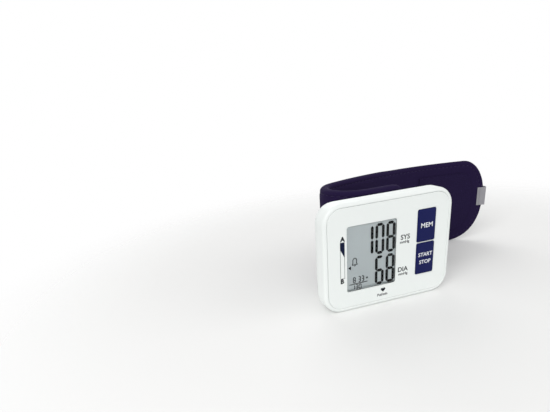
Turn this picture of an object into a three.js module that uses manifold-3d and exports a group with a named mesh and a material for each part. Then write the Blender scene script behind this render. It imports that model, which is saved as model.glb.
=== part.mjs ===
// Wrist blood pressure monitor: a white two-part case with a display and two keys, and a padded cuff that is
// screwed to the back of the case, curls round behind it and ends in a free D-shaped tail.
//
// Sizes are in millimetres. The pieces are laid out about the middle of the case's front face, with +X to the
// right as the display is read, +Y away from the reader and +Z up. At the end the whole is moved so that the
// origin lies under the middle of its bounding box, on the surface that it stands on.

import * as THREE from 'three';
import { mergeVertices } from 'three/addons/utils/BufferGeometryUtils.js';
import Module from 'manifold-3d';

const wasm = await Module();
wasm.setup();

const { degToRad } = THREE.MathUtils;

// Clearances
const seat = 0.3; // gap at a seat, where one piece rests on another
const sliding = 0.3; // gap round a key in its hole
const overrun = 1; // how far a cutter runs past the face that it opens
const bond = 0.3; // how far a post or rib runs into the wall that it grows from
const weld = 1e-4; // points nearer than this are one

// Case
const caseWidth = 82;
const caseHeight = 64;
const caseDepth = 28.5;
const caseCorner = 11;
const rimDepth = 8.5; // straight rim of the front case, up to the parting line
const frontRound = 1.8;
const rearRound = 4;
const sideDraft = degToRad(23);
const endDraft = degToRad(15);
const wall = 1.8;
const lipHeight = 1.4;
const lipThickness = 0.8;
const lipShelf = 2.5;
const catchLength = 6;
const catchDepth = 0.8;
const catchHeight = 0.9;
const catchSpread = 32;

// Face plate and front wall
const plateThickness = 1;
const plateInset = 2.3;
const plateCorner = 8.5;
const frontWall = 2.1;

// Display
const windowWidth = 31.4;
const windowHeight = 38.9;
const windowCorner = 1.4;
const windowSide = 29.8; // from the case's left side to the middle of the window
const windowZ = -0.75;
const lensSink = 0.1; // of the lens below the front of the face plate
const panelLap = 1.6;
const panelLedge = 3; // lower strip of the rear glass that carries the contacts
const frameWall = 1.2;
const frameLedge = 2.5;
const frameCorner = 0.3;
const connectorLength = 28;
const connectorWidth = 2;
const connectorInset = 0.7;
const connectorCorner = 0.5;

// Keys and their switches
const keyWidth = 11.8;
const keyHeight = 18.9;
const keyGap = 1.3;
const keyCorner = 0.8;
const keySide = 17.2; // from the case's right side to the middle of the keys
const keysZ = 1.35;
const keyProud = 0.5;
const keyEdge = 0.4;
const keyFlange = 0.8;
const keyFlangeThickness = 0.9;
const keyTravel = 0.6;
const pressSlack = 0.1;
const stemRadius = 1.5;
const switchSide = 6;
const switchCorner = 0.6;
const switchHeight = 1.6;
const switchNubRadius = 1.6;
const switchNubHeight = 0.6;

// Main board
const boardStand = 4.7; // behind the front wall
const boardThickness = 1.2;
const boardMargin = 0.5;
const postRadius = 1.6;
const postInset = 2.2;
const pegRadius = 0.8;
const pegHeight = 0.6;

// Case screws
const screwInset = 6.2;
const columnRadius = 3;
const columnHeight = 4;
const screwRadius = 1.1;
const screwTip = 0.55;
const screwLength = 8;
const headRadius = 2.1;
const headEdge = 0.75;
const headCrown = 1.5;
const headHeight = 1.5;
const headSlotWidth = 0.7;
const headSlotDepth = 0.6;
const wellGap = 0.4;

// Battery bay
const cellRadius = 5.25;
const cellLength = 44.5;
const cellGap = 0.4;
const cellNubRadius = 1.9;
const cellNubHeight = 0.8;
const cellWallGap = 0.6;
const contactThickness = 0.5;
const contactWidth = 7;
const contactCorner = 1.4;
const holderWall = 0.8;
const holderReach = 1.75; // past the outer cell's axis
const holderRibSpread = 22;
const ribThickness = 1.2;

// Battery cover
const coverSkin = 1.5;
const doorMargin = 0.6;
const doorSill = 1.6;
const doorCorner = 3;
const legThickness = 0.8;
const legWidth = 7;
const legReach = 4;
const legSpread = 22;
const gripCount = 3;
const gripPitch = 2.6;
const gripWidth = 1;
const gripLength = 9;
const gripHeight = 0.5;
const gripCorner = 0.4;

// Air system
const motorRadius = 6;
const motorLength = 20;
const motorBase = -20;
const shaftBossRadius = 2.2;
const shaftBossHeight = 1;
const headSide = 12.4;
const headLength = 14;
const headCorner = 2;
const pumpWallGap = 0.8;
const pumpBoardGap = 1.2;
const cradleWidth = 9;
const cradleSpread = 10;
const cradleReach = 3;
const teeSide = 6;
const teeCorner = 1.2;
const teePlace = 0.48; // share of the way from the pump to the cuff port, not a length
const nippleRadius = 1;
const nippleLength = 3;
const tubeRadius = 2.1;
const tubeBore = 1.4;
const valveSide = 10;
const valveLength = 12;
const valveTail = 4.5;
const valveGap = 7;
const sensorWidth = 9;
const sensorHeight = 8;
const sensorThickness = 3.6;
const sensorCorner = 0.3;
const sensorRise = 14;
const buzzerRadius = 4.6;
const buzzerThickness = 3.5;
const buzzerGap = 1;
const buzzerVent = 1;

// Cuff layers, from the wrist outwards
const liningThickness = 1;
const bladderThickness = 2.4;
const formerThickness = 1;
const coverThickness = 1.2;
const hem = 2;
const innerMargin = 1.5;

// Cuff form
const bandHeight = 62;
const curlRadius = 14; // of the wrist face
const farRadius = 170; // of the wrist face on the far side
const farLean = degToRad(21);
const stiffLength = 50; // far side that the former stiffens
const farLength = 127.4; // far side from the curl to the tip
const nearOverhang = 1.5;
const portLead = 3.9;
const portFlangeRadius = 3.6;
const portBore = 0.7;
const cuffScrewInset = 5;
const cuffScrewSpread = 28;
const cuffScrewLength = 5.5;
const cuffBossLength = 3.4;
const bladderEndGap = 6;

// Cuff tail
const tailThickness = 4.5;
const hingeGap = 0.5;
const tipRise = 5;
const tipTopRun = 15.5;
const tipLowRun = 27;
const hookThickness = 0.9;
const hookLength = 42;
const hookMargin = 9;
const tabHeight = 13.5;
const tabRise = 3.4;
const tabThickness = 0.8;
const tabLap = 5;
const tabLoop = 0.4;

// Facets: steps in a quarter of an edge rounding, and half the steps in an arc of an outline
const roundSteps = 4;
const cornerSteps = 3;
const rodSteps = 3;
const smallSteps = 1;
const tubeSteps = 8; // along a tube
const tubeRingSteps = 2;
const bandSteps = 6;
const tipSteps = 7;

// Depths of the stack behind the face, all measured from the front
const plateBack = plateThickness + seat;
const frontBack = plateBack + frontWall;
const frameFront = frontBack + seat;
const boardFront = frontBack + boardStand;
const boardBack = boardFront + boardThickness;
const rearInner = caseDepth - wall;
const rearStart = rimDepth + seat;

// Display and keys, each held off its own side of the case
const windowX = windowSide - caseWidth / 2;
const keyX = caseWidth / 2 - keySide;
const panelWidth = windowWidth + 2 * panelLap;
const panelHeight = windowHeight + 2 * panelLap;

// Screw places and the board between them
const screwX = caseWidth / 2 - screwInset;
const screwZ = caseHeight / 2 - screwInset;
const lipInset = wall + seat;
const lipInner = lipInset + lipThickness;
const boardLeft = -(screwX - columnRadius - boardMargin);
const boardRight = caseWidth / 2 - lipInner - boardMargin;
const boardTop = caseHeight / 2 - lipInner - boardMargin;
const boardCorner = caseCorner - lipInner - boardMargin;

// Battery bay, packed against the drafted right wall
const cellY = boardBack + seat + holderWall + seat + cellRadius;
const cellOuterX = innerHalfWidth(cellY + cellRadius) - cellWallGap - cellRadius;
const cellInnerX = cellOuterX - 2 * cellRadius - cellGap;
const contactZ = cellLength / 2 + seat;
const holderTop = contactZ + contactThickness + seat + holderWall;
const holderFront = boardBack + seat;
const holderBack = cellY + cellRadius + seat + holderWall;
const holderLeft = cellInnerX - cellRadius - seat - holderWall;
const doorFront = rearStart + doorSill;
const doorRear = holderBack + seat + legThickness;
const doorHeight = cellLength + 2 * doorMargin;

// Air system, hung on the left wall, the board and the cuff port
const pumpY = boardBack + pumpBoardGap + headSide / 2;
const pumpX = pumpWallGap + headSide / 2 - innerHalfWidth(pumpY + headSide / 2);
const headBase = motorBase + motorLength + seat;
const teeZ = headBase + headLength / 2;
const portX = holderLeft - seat - tubeRadius;
const pumpOutletX = pumpX + headSide / 2;
const teeX = THREE.MathUtils.lerp(pumpOutletX, portX, teePlace);

// Cuff form in plan: a straight on the back of the case, the curl, and the far side
const bandThickness = liningThickness + bladderThickness + formerThickness + coverThickness + 3 * seat;
const bladderOffset = liningThickness + seat;
const formerOffset = bladderOffset + bladderThickness + seat;
const coverOffset = formerOffset + formerThickness + seat;
const wristY = caseDepth + seat + bandThickness;
const curlX = portX - portLead;
const curlY = wristY + curlRadius;
const farStart = Math.PI / 2 + farLean;
const farX = curlX + (curlRadius - farRadius) * Math.cos(farStart);
const farY = curlY + (curlRadius - farRadius) * Math.sin(farStart);
const stiffEnd = farStart - stiffLength / farRadius;
const tipAngle = farStart - farLength / farRadius;
const pivotRadius = farRadius + tailThickness / 2;
const pivotAngle = stiffEnd - (hingeGap + tailThickness / 2) / pivotRadius;
const bandBottom = -caseHeight / 2;
const bandTop = bandBottom + bandHeight;
const bandMiddle = (bandBottom + bandTop) / 2;
const backFlat = caseWidth / 2 - (caseDepth - rimDepth) * Math.tan(sideDraft) - rearRound;
const nearEnd = backFlat + nearOverhang;
const cuffScrewX = nearEnd - cuffScrewInset;
const tipX = farX + (farRadius + tailThickness) * Math.cos(tipAngle);

// Materials
const finish = (color, roughness, metalness = 0) =>
  new THREE.MeshStandardMaterial({ color, roughness, metalness });
const whitePlastic = finish('#f1f2f2', 0.42);
const navyPlastic = finish('#1d2160', 0.45);
const clearPlastic = finish('#d5dade', 0.08);
const displayGlass = finish('#aeb3b2', 0.2);
const greyPlastic = finish('#8d9094', 0.5);
const blackPlastic = finish('#1c1c1f', 0.5);
const blackRubber = finish('#202023', 0.8);
const boardGreen = finish('#1f5a3a', 0.5);
const steel = finish('#b9bcc0', 0.3, 1);
const cellWrap = finish('#30363f', 0.35);
const silicone = finish('#d9d6cc', 0.55);
const airFilm = finish('#3a3b40', 0.6);
const darkCloth = finish('#221c38', 0.9);
const darkHook = finish('#1f1a30', 0.95);
const greyRibbon = finish('#9b969b', 0.8);

// Half the width inside the drafted rear case at a depth
function innerHalfWidth(y) {
  return caseWidth / 2 - (y - rimDepth) * Math.tan(sideDraft) - wall / Math.cos(sideDraft);
}

// A closed geometry as a solid that can be cut and joined
function solidOf(geometry) {
  const bare = new THREE.BufferGeometry();
  bare.setAttribute('position', geometry.getAttribute('position'));
  bare.setIndex(geometry.index);
  const merged = mergeVertices(bare, weld);
  const corners = merged.index.array;
  const kept = [];
  for (let i = 0; i < corners.length; i += 3) {
    const [a, b, c] = corners.slice(i, i + 3);
    if (a !== b && b !== c && c !== a) kept.push(a, b, c);
  }
  const mesh = new wasm.Mesh({
    numProp: 3,
    vertProperties: merged.getAttribute('position').array,
    triVerts: new Uint32Array(kept),
    tolerance: weld,
  });
  mesh.merge();
  return new wasm.Manifold(mesh);
}

// A solid's surface as a geometry
function geometryOf(solid) {
  const { vertProperties, triVerts } = solid.getMesh();
  const geometry = new THREE.BufferGeometry();
  geometry.setAttribute('position', new THREE.BufferAttribute(vertProperties, 3));
  geometry.setIndex(new THREE.BufferAttribute(triVerts, 1));
  geometry.computeVertexNormals();
  return geometry;
}

// Outlines
function roundRect(u, v, width, height, radius) {
  const right = width / 2 - radius;
  const top = height / 2 - radius;
  const shape = new THREE.Shape();
  shape.absarc(u + right, v + top, radius, 0, Math.PI / 2);
  shape.absarc(u - right, v + top, radius, Math.PI / 2, Math.PI);
  shape.absarc(u - right, v - top, radius, Math.PI, 1.5 * Math.PI);
  shape.absarc(u + right, v - top, radius, 1.5 * Math.PI, 2 * Math.PI);
  shape.closePath();
  return shape;
}

function rect(left, right, bottom, top) {
  const shape = new THREE.Shape();
  shape.moveTo(left, bottom);
  shape.lineTo(right, bottom);
  shape.lineTo(right, top);
  shape.lineTo(left, top);
  shape.closePath();
  return shape;
}

function disc(u, v, radius) {
  const shape = new THREE.Shape();
  shape.absarc(u, v, radius, 0, Math.PI);
  shape.absarc(u, v, radius, Math.PI, 2 * Math.PI);
  shape.closePath();
  return shape;
}

function pierced(shape, ...holes) {
  shape.holes.push(...holes);
  return shape;
}

// Straight prisms along each axis. An outline's own axes are Y, Z along X; X, Z along Y; and X, Y along Z.
const turn = {
  x: new THREE.Matrix4().makeBasis(
    new THREE.Vector3(0, 1, 0), new THREE.Vector3(0, 0, 1), new THREE.Vector3(1, 0, 0)),
  y: new THREE.Matrix4().makeBasis(
    new THREE.Vector3(1, 0, 0), new THREE.Vector3(0, 0, 1), new THREE.Vector3(0, -1, 0)),
  z: new THREE.Matrix4(),
};

function prism(axis, shape, from, to, steps = cornerSteps) {
  const geometry = new THREE.ExtrudeGeometry(shape, {
    depth: to - from,
    bevelEnabled: false,
    curveSegments: steps,
  });
  geometry.applyMatrix4(turn[axis]);
  const start = { x: [from, 0, 0], y: [0, to, 0], z: [0, 0, from] }[axis];
  geometry.translate(...start);
  return solidOf(geometry);
}

function rod(axis, u, v, radius, from, to) {
  return prism(axis, disc(u, v, radius), from, to, rodSteps);
}

function join(solids) {
  return solids.reduce((whole, part) => whole.add(part));
}

function cut(solid, cutters) {
  return cutters.reduce((rest, cutter) => rest.subtract(cutter), solid);
}

// A skin through outlines set at rising depths, closed by a flat cap at each end
function loft(sections, steps = cornerSteps) {
  const rings = sections.map(({ shape, y }) => {
    const points = shape.extractPoints(steps).shape;
    if (points[0].distanceTo(points.at(-1)) < weld) points.pop();
    return points.map((p) => new THREE.Vector3(p.x, y, p.y));
  });
  const count = rings[0].length;
  const index = [];
  for (let k = 0; k + 1 < rings.length; k += 1) {
    for (let i = 0; i < count; i += 1) {
      const next = (i + 1) % count;
      const [a, b] = [k * count + i, k * count + next];
      const [d, c] = [a + count, b + count];
      index.push(a, d, b, b, d, c);
    }
  }
  const flat = (ring) => ring.map((p) => new THREE.Vector2(p.x, p.z));
  const last = (rings.length - 1) * count;
  for (const [a, b, c] of THREE.ShapeUtils.triangulateShape(flat(rings[0]), [])) index.push(a, b, c);
  for (const [a, b, c] of THREE.ShapeUtils.triangulateShape(flat(rings.at(-1)), [])) {
    index.push(last + a, last + c, last + b);
  }
  const geometry = new THREE.BufferGeometry().setFromPoints(rings.flat());
  geometry.setIndex(index);
  return solidOf(geometry);
}

// Depths and insets round a quarter of an edge rounding that opens towards +Y
function quarterRound(radius) {
  return Array.from({ length: roundSteps + 1 }, (_, k) => {
    const angle = (k / roundSteps) * (Math.PI / 2);
    return { depth: radius * (1 - Math.cos(angle)), inset: radius * (1 - Math.sin(angle)) };
  });
}

// Case forms
function caseOutline(inset, sideInset = 0, endInset = 0, corner = caseCorner) {
  return roundRect(
    0, 0, caseWidth - 2 * (inset + sideInset), caseHeight - 2 * (inset + endInset), corner - inset);
}

function frontForm() {
  const edge = quarterRound(frontRound).map(({ depth, inset }) => ({ y: depth, shape: caseOutline(inset) }));
  return loft([...edge, { y: rimDepth, shape: caseOutline(0) }]);
}

// The drafted rear form, grown inwards by a skin, from the parting line to its rounded back
function rearForm(skin, start = rearStart) {
  const section = (y, inset) => ({
    y,
    shape: caseOutline(
      skin + inset, (y - rimDepth) * Math.tan(sideDraft), (y - rimDepth) * Math.tan(endDraft)),
  });
  const radius = rearRound - skin;
  const back = quarterRound(radius).reverse();
  return loft([
    section(start, 0),
    ...back.map(({ depth, inset }) => section(caseDepth - skin - depth, inset)),
  ]);
}

// Places that the face and the inner pieces share
const keyCentres = {
  mem: keysZ + (keyHeight + keyGap) / 2,
  start_stop: keysZ - (keyHeight + keyGap) / 2,
};
const keyHole = (z) => roundRect(
  keyX, z, keyWidth + 2 * sliding, keyHeight + 2 * sliding, keyCorner + sliding);
const displayHole = (grow) => roundRect(
  windowX, windowZ, windowWidth + 2 * grow, windowHeight + 2 * grow, windowCorner + grow);
const panelHole = (grow) => roundRect(
  windowX, windowZ, panelWidth + 2 * grow, panelHeight + 2 * grow, frameCorner);
const postPlaces = [boardLeft + boardCorner, boardRight - boardCorner]
  .flatMap((x) => [[x, postInset - boardTop], [x, boardTop - postInset]]);
const screwPlaces = { lower: [-screwX, -screwZ], upper: [-screwX, screwZ] };
const cuffScrewPlaces = {
  lower: [cuffScrewX, bandMiddle - cuffScrewSpread / 2],
  upper: [cuffScrewX, bandMiddle + cuffScrewSpread / 2],
};

// Front case: rim, recess for the face plate, windows, screw bosses and board posts
function frontCase() {
  const recess = roundRect(
    0, 0, caseWidth - 2 * plateInset, caseHeight - 2 * plateInset, plateCorner);
  const shell = cut(frontForm(), [
    prism('y', recess, -overrun, plateBack),
    prism('y', caseOutline(wall), frontBack, rimDepth + overrun),
  ]);
  const bosses = Object.values(screwPlaces).map(([x, z]) =>
    rod('y', x, z, columnRadius, frontBack - bond, rimDepth));
  const posts = postPlaces.flatMap(([x, z]) => [
    rod('y', x, z, postRadius, frontBack - bond, boardFront - seat),
    rod('y', x, z, pegRadius, frontBack, boardBack + pegHeight),
  ]);
  const pilots = Object.values(screwPlaces).map(([x, z]) =>
    rod('y', x, z, screwRadius + seat, frontBack + seat, rimDepth + overrun));
  const catches = [-1, 1].map((side) => catchBlock(side, seat));
  return cut(join([shell, ...bosses, ...posts]), [
    prism('y', panelHole(seat), 0, rimDepth, smallSteps),
    ...Object.values(keyCentres).map((z) => prism('y', keyHole(z), 0, rimDepth, smallSteps)),
    ...pilots,
    ...catches,
  ]);
}

// A catch on the rear case's lip at the right wall, and with clearance the pocket that it snaps into
function catchBlock(side, clearance) {
  const middle = (side * catchSpread) / 2;
  const half = catchLength / 2 + clearance;
  const front = rimDepth - lipHeight - clearance;
  const inner = caseWidth / 2 - lipInner;
  const outer = caseWidth / 2 - wall + catchDepth + clearance;
  return prism('y', rect(inner, outer, middle - half, middle + half), front,
    front + catchHeight + 2 * clearance);
}

function facePlate() {
  const outline = roundRect(
    0, 0, caseWidth - 2 * (plateInset + seat), caseHeight - 2 * (plateInset + seat), plateCorner - seat);
  const holes = Object.values(keyCentres).map(keyHole);
  return prism('y', pierced(outline, displayHole(0), ...holes), 0, plateThickness);
}

// Rear case: drafted shell with its lip, screw wells, pump cradle, bay ribs and cuff bosses
function rearCase() {
  const form = rearForm(0);
  const hollow = rearForm(wall, rimDepth);
  const lip = prism('y', pierced(caseOutline(lipInset), caseOutline(lipInner)),
    rimDepth - lipHeight, rearStart + lipShelf);
  const shelf = prism('y', pierced(caseOutline(wall / 2), caseOutline(lipInner)),
    rearStart, rearStart + lipShelf);
  const bossRoom = Object.values(screwPlaces).map(([x, z]) =>
    rod('y', x, z, columnRadius + seat, rimDepth - lipHeight - overrun, rearStart));
  const lipped = cut(join([lip, shelf, catchBlock(-1, 0), catchBlock(1, 0)]), bossRoom);
  const columns = Object.values(screwPlaces).map(([x, z]) =>
    rod('y', x, z, columnRadius + wellGap, rearStart, rearInner));
  const inside = join([
    ...columns, ...pumpCradle(), ...bayRibs(),
    ...Object.values(cuffScrewPlaces).map(([x, z]) =>
      rod('y', x, z, columnRadius, rearInner - cuffBossLength, rearInner + bond)),
  ]).intersect(form);
  const wells = Object.values(screwPlaces).flatMap(([x, z]) => [
    rod('y', x, z, headRadius + wellGap, rearStart + columnHeight, caseDepth + overrun),
    rod('y', x, z, screwRadius + seat, rearStart - overrun, caseDepth),
  ]);
  const cuffPilots = Object.values(cuffScrewPlaces).map(([x, z]) =>
    rod('y', x, z, screwRadius + seat, rearInner - cuffBossLength - overrun, caseDepth + overrun));
  return cut(join([form.subtract(hollow), lipped, inside]), [
    ...wells, ...cuffPilots,
    rod('y', portX, teeZ, nippleRadius + seat, rearInner - overrun, caseDepth + overrun),
    doorBlock(seat, cellOuterX),
  ]);
}

// Two ribs hollowed to the motor's round
function pumpCradle() {
  const middle = motorBase + motorLength / 2;
  const room = rod('z', pumpX, pumpY, motorRadius + seat, motorBase - overrun, motorBase + motorLength);
  return [-1, 1].map((side) => {
    const z = middle + (side * cradleSpread) / 2;
    const half = ribThickness / 2;
    const rib = rect(pumpX - cradleWidth / 2, pumpX + cradleWidth / 2, z - half, z + half);
    return prism('y', rib, pumpY + cradleReach, rearInner + bond).subtract(room);
  });
}

// Two ribs that back the battery holder
function bayRibs() {
  return [-1, 1].map((side) => {
    const z = (side * holderRibSpread) / 2;
    const rib = rect(cellInnerX, cellOuterX, z - ribThickness / 2, z + ribThickness / 2);
    return prism('y', rib, holderBack + seat, rearInner + bond);
  });
}

// The battery cover's outline pushed through the right wall
function doorBlock(clearance, from) {
  const outline = roundRect(
    (doorFront + doorRear) / 2, 0, doorRear - doorFront + 2 * clearance,
    doorHeight + 2 * clearance, doorCorner + clearance);
  return prism('x', outline, from, caseWidth / 2 + overrun);
}

// Battery cover: a piece of the drafted wall with two snap legs and three grip ribs
function batteryCover() {
  const block = doorBlock(0, cellOuterX);
  const panel = rearForm(0).intersect(block).subtract(rearForm(coverSkin, rimDepth));
  const legRoot = innerHalfWidth(doorRear) + wall / 2;
  const legTip = innerHalfWidth(doorRear) - legReach;
  const legs = [-1, 1].map((side) => {
    const middle = (side * legSpread) / 2;
    const leg = rect(legTip, legRoot, middle - legWidth / 2, middle + legWidth / 2);
    return prism('y', leg, doorRear - legThickness, doorRear).intersect(rearForm(coverSkin / 2));
  });
  const middleY = (doorFront + doorRear) / 2;
  const grips = Array.from({ length: gripCount }, (_, k) => {
    const z = (k - (gripCount - 1) / 2) * gripPitch;
    const rib = roundRect(middleY, z, gripLength, gripWidth, gripCorner);
    return prism('x', rib, cellOuterX, caseWidth, smallSteps)
      .intersect(rearForm(-gripHeight, rimDepth))
      .subtract(rearForm(coverSkin / 2, rimDepth));
  });
  return join([panel, ...legs, ...grips]);
}

// Self-tapping screw along Y with a slotted pan head towards +Y
function screw(x, z, headSeat, length) {
  const profile = [
    [0, -length], [screwTip, -length], [screwRadius, screwRadius - length], [screwRadius, 0],
    [headRadius, 0], [headRadius, headEdge], [headCrown, headHeight], [0, headHeight],
  ].map(([radius, along]) => new THREE.Vector2(radius, along));
  const body = solidOf(new THREE.LatheGeometry(profile, 4 * rodSteps).translate(x, headSeat + seat, z));
  const reach = headRadius + overrun;
  const slot = rect(x - reach, x + reach, z - headSlotWidth / 2, z + headSlotWidth / 2);
  const top = headSeat + seat + headHeight;
  return body.subtract(prism('y', slot, top - headSlotDepth, top + overrun));
}

// Display stack
function displayLens() {
  return prism('y', displayHole(-seat), lensSink, plateThickness, smallSteps);
}

function lcdPanel() {
  const left = windowX - panelWidth / 2;
  const right = windowX + panelWidth / 2;
  const bottom = windowZ - panelHeight / 2;
  const top = windowZ + panelHeight / 2;
  const middle = (plateBack + frontBack) / 2;
  return prism('y', rect(left, right, bottom + panelLedge, top), plateBack, frontBack)
    .add(prism('y', rect(left, right, bottom, top), middle, frontBack));
}

const connectorZ = windowZ - panelHeight / 2 + connectorInset + connectorWidth / 2;

function lcdFrame() {
  const slot = roundRect(
    windowX, connectorZ, connectorLength + 2 * seat, connectorWidth + 2 * seat, connectorCorner);
  const back = boardFront - seat;
  return cut(prism('y', panelHole(frameWall), frameFront, back, smallSteps), [
    prism('y', panelHole(-frameLedge), frameFront - overrun, back + overrun, smallSteps),
    prism('y', slot, frameFront - overrun, back + overrun, smallSteps),
  ]);
}

function displayConnector() {
  const strip = roundRect(windowX, connectorZ, connectorLength, connectorWidth, connectorCorner);
  return prism('y', strip, frameFront, boardFront - seat, smallSteps);
}

function mainBoard() {
  const outline = roundRect(
    (boardLeft + boardRight) / 2, 0, boardRight - boardLeft, 2 * boardTop, boardCorner);
  const pegHoles = postPlaces.map(([x, z]) => disc(x, z, pegRadius + seat));
  return prism('y', pierced(outline, ...pegHoles), boardFront, boardBack);
}

// Key: a cap with a softened front edge, a flange that holds it behind the front wall, and a stem
const switchFront = boardFront - seat - switchHeight - switchNubHeight;

function key(z) {
  const flangeFront = frontBack + sliding;
  const flangeBack = flangeFront + keyFlangeThickness;
  const section = (y, inset) => ({
    y,
    shape: roundRect(keyX, z, keyWidth - 2 * inset, keyHeight - 2 * inset, keyCorner),
  });
  const edge = quarterRound(keyEdge).map(({ depth, inset }) => section(depth - keyProud, inset));
  const cap = loft([...edge, section(flangeBack, 0)], smallSteps);
  const flange = roundRect(keyX, z, keyWidth + 2 * keyFlange, keyHeight, keyCorner);
  return join([
    cap,
    prism('y', flange, flangeFront, flangeBack, smallSteps),
    rod('y', keyX, z, stemRadius, flangeFront, switchFront - keyTravel - pressSlack),
  ]);
}

function tactSwitch(z) {
  const base = boardFront - seat;
  const body = roundRect(keyX, z, switchSide, switchSide, switchCorner);
  return join([
    prism('y', body, base - switchHeight, base, smallSteps),
    rod('y', keyX, z, switchNubRadius, switchFront, base),
  ]);
}

// Battery bay
function batteryHolder() {
  const right = cellOuterX + holderReach;
  const outer = rect(holderLeft, right, -holderTop, holderTop);
  const innerTop = holderTop - holderWall;
  const inner = rect(holderLeft + holderWall, right + overrun, -innerTop, innerTop);
  return prism('y', outer, holderFront, holderBack)
    .subtract(prism('y', inner, holderFront + holderWall, holderBack - holderWall))
    .intersect(rearForm(wall + seat, rimDepth));
}

// AAA cell with its positive nub up or down
function cell(x, up) {
  const profile = [
    [0, 0], [cellRadius, 0], [cellRadius, cellLength - cellNubHeight],
    [cellNubRadius, cellLength - cellNubHeight], [cellNubRadius, cellLength], [0, cellLength],
  ].map(([radius, along]) => new THREE.Vector2(radius, along));
  const geometry = new THREE.LatheGeometry(profile, 4 * rodSteps);
  geometry.translate(0, -cellLength / 2, 0);
  geometry.rotateX(up ? Math.PI / 2 : -Math.PI / 2);
  geometry.translate(x, cellY, 0);
  return solidOf(geometry);
}

// Flat sprung contact across one or both cells
function contact(left, right, bottom) {
  const plate = roundRect(
    (left + right) / 2, cellY, right - left + contactWidth, contactWidth, contactCorner);
  return prism('z', plate, bottom, bottom + contactThickness, smallSteps);
}

// Air system
const nipples = {
  pump: { root: new THREE.Vector3(pumpOutletX, pumpY, teeZ), way: new THREE.Vector3(1, 0, 0) },
  teeLeft: { root: new THREE.Vector3(teeX - teeSide / 2, pumpY, teeZ), way: new THREE.Vector3(-1, 0, 0) },
  teeRight: { root: new THREE.Vector3(teeX + teeSide / 2, pumpY, teeZ), way: new THREE.Vector3(1, 0, 0) },
  teeTop: { root: new THREE.Vector3(teeX, pumpY, teeZ + teeSide / 2), way: new THREE.Vector3(0, 0, 1) },
  teeLow: { root: new THREE.Vector3(teeX, pumpY, teeZ - teeSide / 2), way: new THREE.Vector3(0, 0, -1) },
  valve: {
    root: new THREE.Vector3(teeX, pumpY, teeZ - teeSide / 2 - valveGap),
    way: new THREE.Vector3(0, 0, 1),
  },
  sensor: {
    root: new THREE.Vector3(teeX, boardBack + seat + sensorThickness, teeZ + sensorRise),
    way: new THREE.Vector3(0, 1, 0),
  },
  port: { root: new THREE.Vector3(portX, rearInner, teeZ), way: new THREE.Vector3(0, -1, 0) },
};

function nipple({ root, way }) {
  const geometry = new THREE.CylinderGeometry(nippleRadius, nippleRadius, nippleLength + bond, 4 * rodSteps);
  geometry.applyQuaternion(new THREE.Quaternion().setFromUnitVectors(new THREE.Vector3(0, 1, 0), way));
  const middle = root.clone().addScaledVector(way, (nippleLength - bond) / 2);
  return solidOf(geometry.translate(middle.x, middle.y, middle.z));
}

// Soft tube pushed over two nipples, straight over each and bent between them
function airTube(from, to) {
  const end = ({ root, way }) => root.clone().addScaledVector(way, seat);
  const bend = ({ root, way }) => root.clone().addScaledVector(way, nippleLength);
  const [a, b] = [bend(from), bend(to)];
  const handle = a.distanceTo(b) / 2;
  const path = new THREE.CurvePath();
  path.add(new THREE.LineCurve3(end(from), a));
  path.add(new THREE.CubicBezierCurve3(
    a, a.clone().addScaledVector(from.way, handle), b.clone().addScaledVector(to.way, handle), b));
  path.add(new THREE.LineCurve3(b, end(to)));
  const ring = pierced(disc(0, 0, tubeRadius), disc(0, 0, tubeBore));
  return solidOf(new THREE.ExtrudeGeometry(ring, {
    extrudePath: path, steps: tubeSteps, curveSegments: tubeRingSteps,
  }));
}

function pumpMotor() {
  return rod('z', pumpX, pumpY, motorRadius, motorBase, motorBase + motorLength)
    .add(rod('z', pumpX, pumpY, shaftBossRadius, motorBase - shaftBossHeight, motorBase + bond));
}

function pumpHead() {
  const body = roundRect(pumpX, pumpY, headSide, headSide, headCorner);
  return prism('z', body, headBase, headBase + headLength, smallSteps).add(nipple(nipples.pump));
}

function airTee() {
  const body = roundRect(teeX, pumpY, teeSide, teeSide, teeCorner);
  return join([
    prism('z', body, teeZ - teeSide / 2, teeZ + teeSide / 2, smallSteps),
    ...[nipples.teeLeft, nipples.teeRight, nipples.teeTop, nipples.teeLow].map(nipple),
  ]);
}

function releaseValve() {
  const top = nipples.valve.root.z;
  const front = boardBack + seat;
  const back = pumpY + valveTail;
  const body = roundRect(teeX, (front + back) / 2, valveSide, back - front, teeCorner);
  return prism('z', body, top - valveLength, top, smallSteps).add(nipple(nipples.valve));
}

function pressureSensor() {
  const body = roundRect(teeX, nipples.sensor.root.z, sensorWidth, sensorHeight, sensorCorner);
  return prism('y', body, boardBack + seat, nipples.sensor.root.y, smallSteps).add(nipple(nipples.sensor));
}

function buzzer() {
  const z = headBase + headLength + buzzerGap + buzzerRadius;
  const back = boardBack + seat + buzzerThickness;
  return rod('y', pumpX, z, buzzerRadius, boardBack + seat, back)
    .subtract(rod('y', pumpX, z, buzzerVent, back - buzzerVent, back + overrun));
}

// Cuff strips in plan, between two offsets from the wrist face
function bandShape(inner, outer, near, end) {
  const shape = new THREE.Shape();
  shape.moveTo(near, wristY - inner);
  shape.lineTo(curlX, wristY - inner);
  shape.absarc(curlX, curlY, curlRadius + inner, -Math.PI / 2, farStart, true);
  shape.absarc(farX, farY, farRadius + inner, farStart, end, true);
  shape.absarc(farX, farY, farRadius + outer, end, farStart, false);
  shape.absarc(curlX, curlY, curlRadius + outer, farStart, -Math.PI / 2, false);
  shape.lineTo(near, wristY - outer);
  shape.closePath();
  return shape;
}

function farShape(inner, outer, start, end) {
  const shape = new THREE.Shape();
  shape.absarc(farX, farY, farRadius + inner, start, end, true);
  shape.absarc(farX, farY, farRadius + outer, end, start, false);
  shape.closePath();
  return shape;
}

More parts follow.
